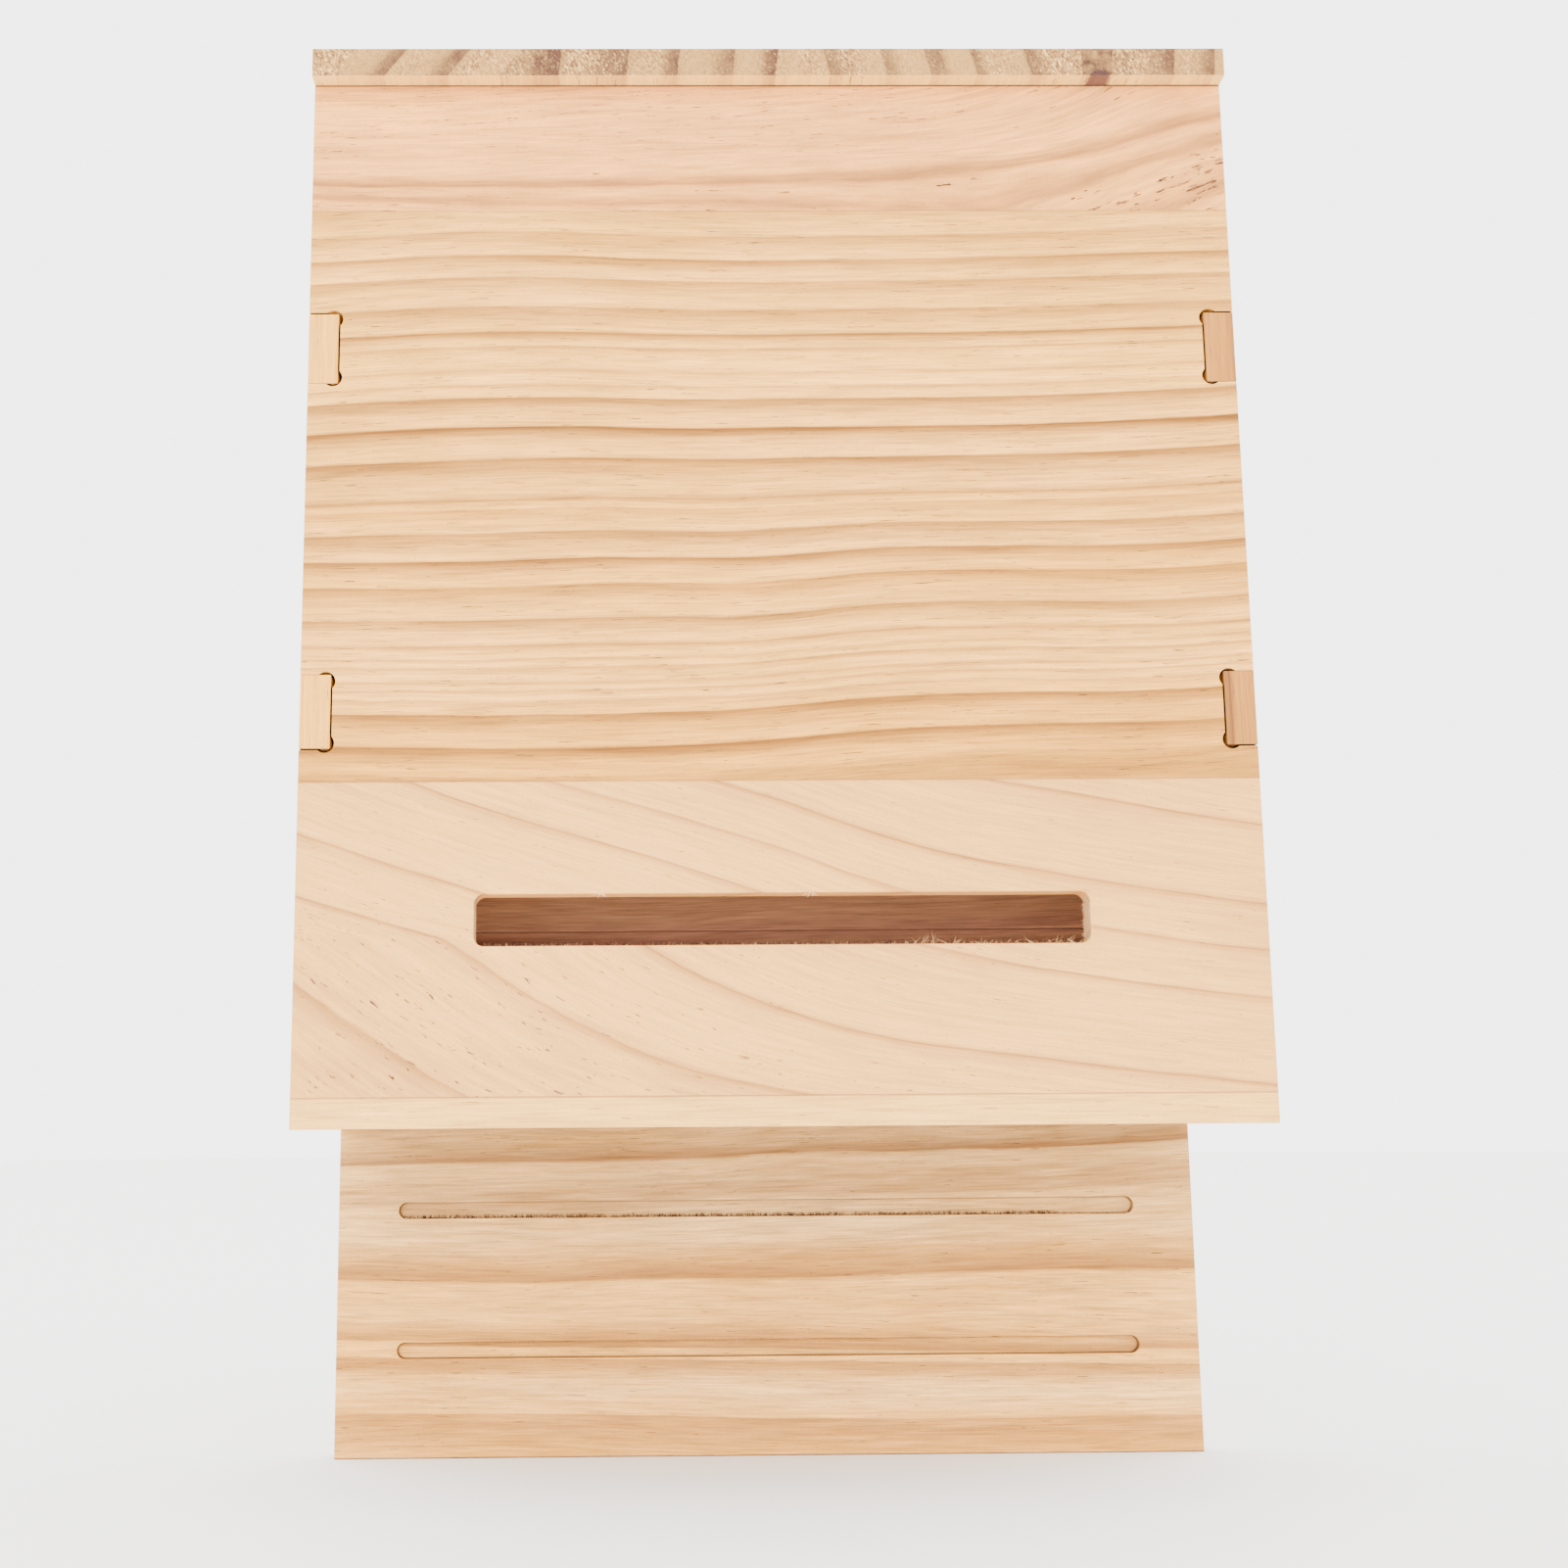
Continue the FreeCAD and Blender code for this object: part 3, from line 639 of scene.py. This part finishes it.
wide_pine = sanded_pine(
    "sanded_pine_wide_stave", "X", "Z", "Y", WIDTH,
    [(-165.0, [(-150, 0), (-112, -0.6), (-80, -1.0), (-48, -0.7), (-24, 0.3), (0, 2.0), (32, 4.7),
               (72, 6.1), (120, 7.0), (150, 9.0)]),
     (-110.0, [(-150, 0), (-96, 0), (-60, 1.2), (-32, 1.4), (-12, 1.2), (8, 2.6), (32, 4.8),
               (72, 5.7), (104, 5.3), (128, 6.0), (150, 7.5)]),
     (-65.0, [(-150, -0.8), (-128, 0.7), (-96, 1.9), (-64, 2.5), (-24, 1.7), (8, 2.2), (48, 2.4),
              (88, 3.2), (120, 4.6), (150, 6.5)]),
     (-10.0, [(-150, -0.8), (-128, 0.5), (-104, 1.8), (-72, 1.8), (-40, 0.6), (-8, 0.1),
              (32, 0.5), (64, 1.0), (96, 1.8), (136, 3.0), (150, 3.3)])],
    [(mm, float(i), *looks) for i, (mm, *looks) in enumerate(WIDE_YEARS)],
    ("#EEAC54", "#7A480C", "#D4983C", "#C89448", "#6A3E18"), depth_at=FRONT, late_mm=3.6,
    edge=0.25, soft=0.45, wobble=0.5, drift=0.6, fibre=0.28, ducts=0.6, restless=0.4,
    seams=((15.6, 0.2), (-173.8, 0.3)), seed=2.0)
dress("front_stave_wide", wide_pine)

# %% The slotted stave
slotted_pine = sanded_pine(
    "sanded_pine_slotted_stave", "X", "Z", "Y", WIDTH,
    [(-271.0, [(-150, 42.6), (-120, 35.8), (-90, 29.5), (-60, 24.0), (-30, 19.5), (0, 15.9),
               (30, 12.5), (60, 9.9), (90, 6.7), (120, 3.1), (150, -0.3)]),
     (-222.5, [(-150, 74.6), (-120, 66.8), (-90, 58.8), (-60, 50.3), (-30, 40.6), (0, 30.5),
               (30, 20.5), (60, 13.5), (90, 8.1), (120, 3.6), (150, -0.3)]),
     (-174.0, [(-150, 80.6), (-120, 70.1), (-90, 59.3), (-60, 49.9), (-30, 41.9), (0, 33.3),
               (30, 23.2), (60, 15.2), (90, 10.0), (120, 4.5), (150, -0.6)])],
    [(-330.0, 0.0, 0.34, 0.2, 1.1, 0.9), (-301.4, 1.0, 0.38, 0.14, 1.1, 0.8),
     (-285.3, 2.0, 0.42, 0.1, 1.1, 0.5), (-268.4, 3.0, 0.48, 0.1), (-242.0, 4.0, 0.42, 0.15),
     (-227.3, 5.0, 0.35, 0.18), (-213.0, 6.0, 0.42, 0.2), (-188.0, 7.0, 0.42, 0.2),
     (-160.0, 8.0, 0.36, 0.15)],
    ("#EAAC5C", "#7A481A", "#CC9250", "#D4AE78", "#8A6038"), depth_at=FRONT, late_mm=0.9,
    fade=1.4, edge=0.35, soft=0.3, drift=0.45, fibre=0.15, ducts=0.24, duct_mm=15.0, restless=0.3,
    seams=((-270.8, 0.6), (-173.8, 0.3)), seed=3.0)
dress("front_stave_slotted", slotted_pine)

# %% The lowest stave
strip_pine = sanded_pine(
    "sanded_pine_lowest_stave", "X", "Z", "Y", WIDTH,
    [(-281.0, [(-150, -1.0), (0, 0.0), (150, 0.5)]), (-270.0, [(-150, -1.0), (0, 0), (150, 0.5)])],
    [(-300.0, 0.0, 0.2, 0.0), (-270.0, 1.0, 0.2, 0.0)],
    ("#E6AE5C", "#AA7838", "#CC9650", "#C89A50", "#8A5A2C"), depth_at=FRONT, drift=0.4,
    fibre=0.24, ducts=0.3, seams=((-270.8, 0.3),), seed=4.0)
dress("front_stave_bottom", strip_pine)

# %% [markdown]
# ## The back board
# The back board reaches below the box as the landing where bats alight. It has broad bands: it
# was sawn along the years, so each one is drawn out. Nine shallow grooves give the claws a hold.

# %% The back board
BACK_FACE = -9.6        # mm
# above the landing, behind the front panel: (mm, line strength, how brown the wood between is)
UPPER_BANDS = [(-280.0, 0.3, 0.16), (-270.0, 0.5, 0.2), (-255.0, 0.5, 0.2), (-236.0, 0.7, 0.2),
               (-214.0, 0.5, 0.25), (-196.0, 0.6, 0.15), (-170.0, 0.5, 0.2), (-151.0, 0.7, 0.2),
               (-120.0, 0.5, 0.15), (-95.0, 0.6, 0.2), (-62.0, 0.5, 0.2), (-36.0, 0.6, 0.15),
               (-5.0, 0.5, 0.2), (22.0, 0.6, 0.2), (48.0, 0.5, 0.2), (75.0, 0.5, 0.2)]
back_pine = sanded_pine(
    "sanded_pine_back_board", "X", "Z", "Y", WIDTH,
    [(-380.0, [(-150, 0), (-90, 0), (-40, -1), (10, -2.4), (70, -2.8), (150, -2.0)]),
     (-355.0, [(-150, 0), (-40, -1.6), (30, -2.8), (100, -4.5), (150, -6.0)]),
     (-331.0, [(-150, 0), (-86, -1.8), (-40, -0.9), (14, -0.9), (78, 1.2), (150, 1.2)]),
     (-292.0, [(-150, -0.5), (-95, 0.8), (-40, 0.6), (10, 3.0), (60, 3.6), (110, 5.0),
               (150, 7.0)])],
    [(-392.0, 0.5, 0.38, 0.12, 9, 0.25, 0.5), (-377.4, 1.0, 0.4, 0.1, 12, 0.25, 0.4),
     (-368.5, 1.45, 0.2, 0.0, 5), (-358.1, 2.0, 0.5, 0.12, 7, 0.4, 0.5),
     (-355.0, 2.3, 0.1, 0.05, 7, 0.25, 0.5), (-352.2, 2.0, 0.45, 0.14, 6, 0.25, 0.55),
     (-343.0, 1.45, 0.2, 0.16, 7, 0.25, 0.4), (-331.4, 1.0, 0.54, 0.12, 9, 0.25, 0.5),
     (-326.0, 0.75, 0.4, 0.12, 12, 0.35, 0.5),
     (-318.0, 0.45, 0.3, 0.05, 12), (-306.0, 0.0, 0.3, 0.08, 9), (-292.4, -1.0, 0.6, 0.1, 3),
     (-286.0, -1.5, 0.3, 0.14, 5, 0.45)]
    + [(mm, -2.0 - i, line, ground) for i, (mm, line, ground) in enumerate(UPPER_BANDS)],
    ("#ECB870", "#6E380E", "#C48A3A", "#B08040", "#5A3418"), depth_at=BACK_FACE, late_mm=5.0,
    # the grooves' walls get painted shade
    fade=3.5, edge=0.15, drift=0.6, fibre=0.3, ducts=0.4, lean=0.9, groove_shade=0.95,
    restless=0.35, seed=5.0)
dress("back_board", back_pine)

# %% [markdown]
# ## The side boards
# On the sides the grain stands upright, so that the tabs, which the front shows end on, are
# strong along their fibres.


# %% The side boards
def upright_years(first, spacings, line, ground):
    """Years across a board from its first line, each with its own width in mm."""
    place, years = first, []
    for i, spacing in enumerate(spacings):
        years.append((place, float(i), line, ground))
        place += spacing
    return years


SIDE_REACH = (-280.0, 60.0)
left_pine = sanded_pine(
    "sanded_pine_left_side", "Z", "Y", "X", SIDE_REACH,
    [(-112.0, [(-280, 0), (-150, 2.5), (-60, 4), (60, 2)]),
     (0.0, [(-280, -2), (-150, 3), (-60, 8), (60, 12)])],
    upright_years(-134.0, [13, 18, 11, 10, 13, 9, 7, 8, 10, 12, 9, 8, 7, 9, 11, 9], 0.55, 0.06),
    ("#E8A444", "#6A3C12", "#D5953C", "#BE8A44", "#5E3818"), depth_at=-150.0, wobble=1.0,
    fibre=0.22, seed=6.0)
dress("side_board_left", left_pine)
right_pine = sanded_pine(
    "sanded_pine_right_side", "Z", "Y", "X", SIDE_REACH,
    [(-112.0, [(-280, 1), (-150, 0), (-60, -3), (60, -5)]),
     (0.0, [(-280, 4), (-150, 0), (-60, -5), (60, -3)])],
    upright_years(-129.6, [8, 14, 7, 8, 6, 7, 9, 6, 5, 7, 8, 6, 7, 6, 8, 7, 6, 5, 7, 8], 0.5, 0.1),
    ("#B4762E", "#522C12", "#A26A2C", "#9A6A38", "#4E2C14"), depth_at=150.0, lean=1.2, wobble=0.8,
    fibre=0.24, edge=0.5, seed=7.0)
dress("side_board_right", right_pine)

# %% [markdown]
# ## The roof
# The roof's staves run from back to front, so the front edge of the roof is cut end grain: the
# years stand in it as slanted bands, and the cut cells drink more light, so it looks darker.

# %% The roof staves
ROOF_REACH = (-118.8, 0.0)
STRAIGHT = [(-200.0, [(-118.8, 0), (0, 0)]), (200.0, [(-118.8, 1.5), (0, -1.5)])]
ROOF_TONES = ("#F6C86A", "#CE9C58", "#E8B05E", "#A87C42", "#4C2C1A")
# each stave: how far its years lean, and the stops (mm, count, line, ground, late mm, torn)
roof_years = {
    "roof_stave_left": (0.8, [
        (-165.0, 1.1, 0.4, 0.15, 10, 1.0), (-146.0, 1.35, 0.5, 0.12, 10, 1.0),
        (-141.0, 1.45, 0.62, 0.08, 10, 0.3), (-133.0, 1.65, 0.69, 0.13, 10, 0.1),
        (-126.7, 2.0, 0.69, 0.15, 10, 0.1), (-122.0, 2.2, 0.62, 0.05, 10, 0.6),
        (-114.0, 2.5, 0.69, 0.08, 10, 0.05), (-106.2, 3.0, 0.69, 0.15, 9, 0.2),
        (-102.0, 3.2, 0.62, 0.05, 8, 1.0), (-94.0, 3.4, 0.38, 0.08, 8, 0.4),
        (-89.5, 3.55, 0.25, 0.05, 8, 0.3), (-89.0, 3.6, 0.25, 0.3, 8, 0.6),
        (-78.0, 3.9, 0.25, 0.3, 8, 0.7)]),
    "roof_stave_inner_left": (0.1, [
        (-84.0, 0.5, 0.5, 0.35, 8, 0.3), (-70.0, 1.0, 0.8, 0.35, 3, 0.3),
        (-67.0, 1.1, 0.5, 0.2, 8, 1.0), (-55.0, 1.75, 0.5, 0.2, 8, 1.0),
        (-47.8, 2.0, 0.6, 0.25, 7, 0.3), (-40.0, 2.4, 0.5, 0.1, 5, 0.7),
        (-31.0, 3.0, 0.7, 0.17, 5.5, 0.3), (-24.0, 3.4, 0.5, 0.07, 6, 0.15),
        (-12.9, 4.0, 0.6, 0.15, 6.5, 0.2), (-8.0, 4.2, 0.62, 0.07, 7, 0.1),
        (1.1, 5.0, 0.85, 0.17, 6.5, 0.4), (5.0, 5.3, 0.5, 0.05, 5, 0.2),
        (14.0, 5.6, 0.5, 0.07, 5, 0.7)]),
    "roof_stave_inner_right": (-0.25, [
        (5.0, 8.6, 0.38, 0.07, 5, 0.4), (15.0, 8.3, 0.38, 0.08, 5, 0.7),
        (19.5, 8.0, 0.5, 0.15, 5.5, 0.2), (26.0, 7.6, 0.5, 0.15, 6, 1.0),
        (33.0, 7.3, 0.5, 0.05, 6, 0.3), (38.1, 7.0, 0.52, 0.1, 5, 0.3),
        (45.0, 6.5, 0.5, 0.0, 5, 0.2), (52.4, 6.0, 0.5, 0.15, 4, 0.2),
        (57.0, 5.75, 0.5, 0.3, 4, 0.3), (60.0, 5.5, 0.5, 0.0, 5, 0.0),
        (67.6, 5.0, 0.6, 0.1, 4, 0.2), (73.0, 4.6, 0.5, 0.0, 5, 0.7),
        (85.2, 4.0, 0.56, 0.2, 6.5, 0.2), (93.0, 3.6, 0.5, 0.16, 8, 1.0),
        (104.0, 3.3, 0.5, 0.16, 5, 1.0)]),
    "roof_stave_right": (0.05, [
        (96.0, 0.3, 0.38, 0.7, 5, 0.0), (111.6, 0.5, 0.38, 0.7, 5, 0.0),
        (112.2, 0.6, 0.38, 0.09, 5, 1.0), (120.0, 1.2, 0.38, 0.13, 5, 1.0),
        (125.0, 1.6, 0.55, 0.22, 9, 0.4), (132.0, 2.0, 0.6, 0.22, 8, 0.2),
        (137.0, 2.4, 0.5, 0.05, 5, 0.6), (145.2, 3.0, 0.66, 0.12, 4, 0.1),
        (150.0, 3.3, 0.5, 0.05, 5, 0.0)]),
}
# the knot at the front edge: its middle and its half sizes, in mm
ROOF_KNOTS = {"roof_stave_right": [((108.8, -112.0, 59.5), (4.2, 16.0, 3.4))]}
for i, (node, (slant, years)) in enumerate(roof_years.items()):
    dress(node, sanded_pine("sawn_pine_" + node, "Y", "X", "Z", ROOF_REACH, STRAIGHT, years,
                            ROOF_TONES, depth_at=60.0, lean=-slant, wobble=0.5, drift=0.5,
                            fade=4.0, edge=0.15, soft=0.25, fibre=0.14, ducts=0.3,
                            knots=ROOF_KNOTS.get(node, ()), seed=8.0 + i))
print("boards dressed:", sum(m.name.startswith(("sanded_", "sawn_")) for m in bpy.data.materials))

# %% [markdown]
# ## The screws
# Four countersunk screws of zinc-plated steel hold the roof to the sides. Zinc plate is a thin
# bright layer, passivated with a bluish tint, that dulls a little where it is handled.

# %% The screws
ZINC_CLOUDS = 900.0     # to a metre: a patch of the plating's haze is about a millimetre
zinc = bpy.data.materials.new("zinc_plated_steel_screw")
zinc.use_nodes = True
zinc_tree = zinc.node_tree
zinc_shader = zinc_tree.nodes["Principled BSDF"]
zinc_cloud = put(zinc_tree, "TexNoise", put(zinc_tree, "TexCoord").outputs["Object"],
                 ZINC_CLOUDS, 3.0)
zinc_tint = put(zinc_tree, "Mix", zinc_cloud.outputs["Fac"], linear("#C9CCD0"), linear("#A9ABAD"),
                data_type="RGBA")
for socket, value in (("Base Color", zinc_tint), ("Metallic", 1.0), ("Roughness", 0.32)):
    feed(zinc_tree, zinc_shader.inputs[socket], value)
dress("roof_screws", zinc)

# %% [markdown]
# ## Eased arrises
# A saw leaves corners that cut the hand, so the maker takes them off with a few strokes of
# sandpaper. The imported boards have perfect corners, and corners like that never catch the light.
# A shader could fake a rounded one, but the outline would stay sharp. So each board gets a copy
# whose sharp corners are bevelled by a quarter of a millimetre. Along a glue line the boards
# were sanded together as one, so there they stay as they are.

# %% Ease the boards
EASED = 0.25            # mm
FRONT_GLUE_LINES = [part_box("front_stave_" + stave)[0][2] for stave in ("top", "wide", "slotted")]
ROOF_GLUE_LINES = [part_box("roof_stave_" + stave)[1][0] for stave in ("left", "inner_left",
                                                                    "inner_right")]
SHARP_CORNER = math.radians(40)
SAME_PLANE = math.radians(0.3)
SMOOTH_BELOW = math.radians(20)
SAME_POINT, ON_THE_LINE = 0.001 * MM, 0.01 * MM


def eased_board(node, slot, axis, glue_lines):
    """Replace a packed board by a copy with its corners eased, but not along its glue lines."""
    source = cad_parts[node]
    low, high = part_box(node)
    bm = bmesh.new()
    bm.from_mesh(source.data)
    bmesh.ops.remove_doubles(bm, verts=bm.verts, dist=SAME_POINT)
    bmesh.ops.dissolve_limit(bm, angle_limit=SAME_PLANE, verts=bm.verts, edges=bm.edges)

    def is_glued(edge):
        return any(all(abs(vert.co[axis] - place) < ON_THE_LINE for vert in edge.verts)
                   for place in glue_lines)

    corners = [edge for edge in bm.edges if edge.is_manifold and edge.is_convex
               and edge.calc_face_angle() > SHARP_CORNER and not is_glued(edge)]
    bmesh.ops.bevel(bm, geom=corners, offset=EASED * MM, offset_type="OFFSET", segments=2,
                    profile=0.5, affect="EDGES", clamp_overlap=False, loop_slide=True)
    for vert in bm.verts:
        vert.co = [min(max(c, least), most) for c, least, most in zip(vert.co, low, high)]
    mesh = bpy.data.meshes.new("eased_" + node)
    for material in source.data.materials:
        mesh.materials.append(material)
    bm.to_mesh(mesh)
    bm.free()
    mesh.polygons.foreach_set("use_smooth", [True] * len(mesh.polygons))
    mesh.set_sharp_from_angle(angle=SMOOTH_BELOW)
    board = bpy.data.objects.new("eased_" + node, mesh)
    bpy.context.scene.collection.objects.link(board)
    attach(board, "root")
    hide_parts(node)
    print(board.name, len(corners), "corners eased")


SIDEWAYS, UP = 0, 2      # the axis across which a panel's staves are glued
BOARDS = [("front_stave_" + stave, "pine_front_" + stave, UP, FRONT_GLUE_LINES)
          for stave in ("top", "wide", "slotted", "bottom")]
BOARDS += [("back_board", "pine_back", UP, []), ("side_board_left", "pine_side_left", UP, []),
           ("side_board_right", "pine_side_right", UP, [])]
BOARDS += [("roof_stave_" + stave, "pine_roof", SIDEWAYS, ROOF_GLUE_LINES)
           for stave in ("left", "inner_left", "inner_right", "right")]
for board in BOARDS:
    eased_board(*board)

# %% [markdown]
# ## Torn fibres
# A router bit that runs along the grain lifts fibres instead of cutting them, so the lower edge
# of the slot and the edges of the grooves are fuzzy. Hair particles could do this, but they
# aren't a mesh and would be lost on export. Each fibre here is a three-sided strand of a few
# tenths of a millimetre, a little thicker than a real one so that it shows, bent over to its tip.
# Behind the pale ones stands a close row of dark brown strands, which paints the shade under
# the edge as a dark line.

# %% Make one torn fibre
FIBRE_STEPS = 3
CURL = 0.5              # how far a fibre bends aside, as a share of its length
TAPER = 0.8             # how much thinner its tip is than its root
CORNERS = (0.0, 2 * math.pi / 3, 4 * math.pi / 3)
chance = random.Random(11)


def add_fibre(bm, root, lean, length, thick):
    """Grow a tapering strand from a point in mm, along a lean, that curls over sideways."""
    lean = Vector(lean).normalized()
    side = lean.orthogonal().normalized()
    other = lean.cross(side)
    curl = (side * chance.uniform(-1, 1) + other * chance.uniform(-1, 1)) * CURL
    rings = []
    for step in range(FIBRE_STEPS + 1):
        t = step / FIBRE_STEPS
        centre = Vector(root) + (lean * t + curl * t * t) * length
        radius = thick / 2 * (1 - TAPER * t)
        rings.append([bm.verts.new((centre + (side * math.cos(corner) + other * math.sin(corner))
                                    * radius) * MM) for corner in CORNERS])
    for lower, upper in zip(rings, rings[1:]):
        for k in range(3):
            bm.faces.new((lower[k], lower[(k + 1) % 3], upper[(k + 1) % 3], upper[k]))
    bm.faces.new(rings[0][::-1])
    bm.faces.new(rings[-1])


def torn_fibres(name, material, strands):
    """One piece made of many strands, each (root, lean, length, thickness) in mm."""
    bm = bmesh.new()
    for strand in strands:
        add_fibre(bm, *strand)
    bmesh.ops.recalc_face_normals(bm, faces=bm.faces)
    mesh = bpy.data.meshes.new(name)
    bm.to_mesh(mesh)
    bm.free()
    mesh.materials.append(material)
    piece = bpy.data.objects.new(name, mesh)
    bpy.context.scene.collection.objects.link(piece)
    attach(piece, "root")
    print(name, len(strands), "strands")


# %% The fibres' two finishes
# Torn pine is paler than the sanded face, because its cells scatter the light, and the dark
# strands are brown as painted shade. Each strand differs a little: the spots of the pattern are
# 2 mm apart, about as far as the strands.
SPOTS = 1 / (2 * MM)    # to a metre
FIBRE_ROUGHNESS = 0.85


def fibre_finish(name, dark, light):
    material = bpy.data.materials.new(name)
    material.use_nodes = True
    tree = material.node_tree
    spots = put(tree, "TexNoise", put(tree, "TexCoord").outputs["Object"], SPOTS)
    share = put(tree, "MapRange", spots.outputs["Fac"], 0.35, 0.6, 0.0, 1.0)
    tint = put(tree, "Mix", share, linear(dark), linear(light), data_type="RGBA")
    shader = tree.nodes["Principled BSDF"]
    for socket, value in (("Base Color", tint), ("Roughness", FIBRE_ROUGHNESS),
                          ("IOR", WOOD_IOR), ("Specular IOR Level", WOOD_SPECULAR)):
        feed(tree, shader.inputs[socket], value)
    return material


fibre_pine = fibre_finish("torn_pine_fibres", "#8E5C34", "#DCAE76")
# dark strands that stand for painted shade under the edges
dark_shade_pine = fibre_finish("dark_shade_pine_fibres", "#38221A", "#6E4A38")
print("fibre finishes:", fibre_pine.name, "and", dark_shade_pine.name)

# %% Fuzz along the slot's lower edge
SLOT_HALF, SLOT_LOW, SLOT_HIGH = 95.0, -225.0, -209.0       # mm
SLOT_ENDS = (-SLOT_HALF + 3, SLOT_HALF - 3)                 # clear of the round corners
SUNK = 0.1                                                  # mm that a root sits in the wood
FUZZ_DEPTHS = (FRONT + EASED, FRONT + 1.4)
FUZZ_THICK = (0.14, 0.24)
slot_strands = []
for _ in range(150):
    slot_strands.append(((chance.uniform(*SLOT_ENDS), chance.uniform(*FUZZ_DEPTHS),
                          SLOT_LOW - SUNK),
                         (chance.uniform(-0.9, 0.9), -0.05, 1.0),
                         chance.choice((0.4, 0.5, 0.7, 1.2)), chance.uniform(*FUZZ_THICK)))
print("fuzz from", SLOT_ENDS[0], "to", SLOT_ENDS[1], "mm")

# %% Loose tangles towards the slot's right end
TANGLES = ((40, 54, 14, 4.6), (60, 74, 7, 3.0), (76, 94, 12, 4.0))  # from, to, strands, longest
TANGLE_THICK = 0.19
for *stretch, count, longest in TANGLES:
    for _ in range(count):
        slot_strands.append(((chance.uniform(*stretch), chance.uniform(*FUZZ_DEPTHS),
                              SLOT_LOW - SUNK),
                             (chance.uniform(-1.6, 1.6), 0.0, 1.0),
                             chance.uniform(0.5, 1.0) * longest, TANGLE_THICK))
print("tangles:", len(TANGLES))

# %% Fuzz on the far edge of the slot's right end
SLOT_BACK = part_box("front_stave_slotted")[1][1] / MM - EASED
for _ in range(50):
    slot_strands.append(((SLOT_HALF + SUNK, chance.uniform(SLOT_BACK - 1.2, SLOT_BACK),
                          chance.uniform(SLOT_LOW + 2, SLOT_HIGH - 3)),
                         (-1.0, 0.0, chance.uniform(-0.7, 0.7)),
                         chance.choice((0.4, 0.6, 1.0)), chance.uniform(*FUZZ_THICK)))
print("the far edge is at", round(SLOT_BACK, 2), "mm")

# %% Two splinters that hang from the slot's upper edge
SPLINTERS = ((0.9, 1.7), (0.3, 1.3), (-1.2, 1.8), (-2.0, 2.4))      # lean, length
SPLINTER_THICK = 0.7
for x in (-55.6, 9.2):
    for lean_x, length in SPLINTERS:
        slot_strands.append(((x + lean_x * 0.3, FUZZ_DEPTHS[0] + SUNK, SLOT_HIGH + 0.2),
                             (lean_x, 0.0, -1.0), length, SPLINTER_THICK))
torn_fibres("torn_fibres_at_slot", fibre_pine, slot_strands)

# %% The dark row of painted shade behind the fuzz
DARK_SHADE_DEPTHS = (FRONT + 1.6, FRONT + 3.4)
dark_shade_strands = [((chance.uniform(*SLOT_ENDS), chance.uniform(*DARK_SHADE_DEPTHS), SLOT_LOW - SUNK),
                   (chance.uniform(-0.5, 0.5), 0.0, 1.0),
                   chance.uniform(1.1, 1.7), chance.uniform(0.3, 0.45)) for _ in range(760)]
torn_fibres("dark_shade_fibres_at_slot", dark_shade_pine, dark_shade_strands)

# %% Fuzz along the two lowest grooves
GROOVE_HALF, GROOVE_WIDTH = 127.0, 5.5      # mm
LOWEST_GROOVE, GROOVE_STEP = -356.0, 47.5
EDGE_OFF = GROOVE_WIDTH / 2 + 0.05          # from a groove's middle into the wood beside it
groove_strands = []
# (middle of the groove, its fuzzy edge, strands, longest)
for middle, edge, count, longest in ((LOWEST_GROOVE + GROOVE_STEP, -1, 420, 1.3),
                                     (LOWEST_GROOVE, 1, 150, 0.7)):
    for _ in range(count):
        groove_strands.append(((chance.uniform(-GROOVE_HALF, GROOVE_HALF),
                                BACK_FACE + chance.uniform(0.2, 0.8), middle + edge * EDGE_OFF),
                               (chance.uniform(-0.9, 0.9), -0.5, -edge * 1.0),
                               chance.uniform(0.3, 1.0) * longest, chance.uniform(0.16, 0.28)))
torn_fibres("torn_fibres_at_grooves", fibre_pine, groove_strands)

# %% The dark row of painted shade in the upper one of them
dark_shade_strands = [((chance.uniform(-GROOVE_HALF, GROOVE_HALF * 0.8),
                    BACK_FACE + chance.uniform(0.8, 1.5), LOWEST_GROOVE + GROOVE_STEP - EDGE_OFF),
                   (chance.uniform(-0.7, 0.7), -0.2, 1.0),
                   chance.uniform(0.9, 1.6), chance.uniform(0.28, 0.42)) for _ in range(700)]
torn_fibres("dark_shade_fibres_at_groove", dark_shade_pine, dark_shade_strands)
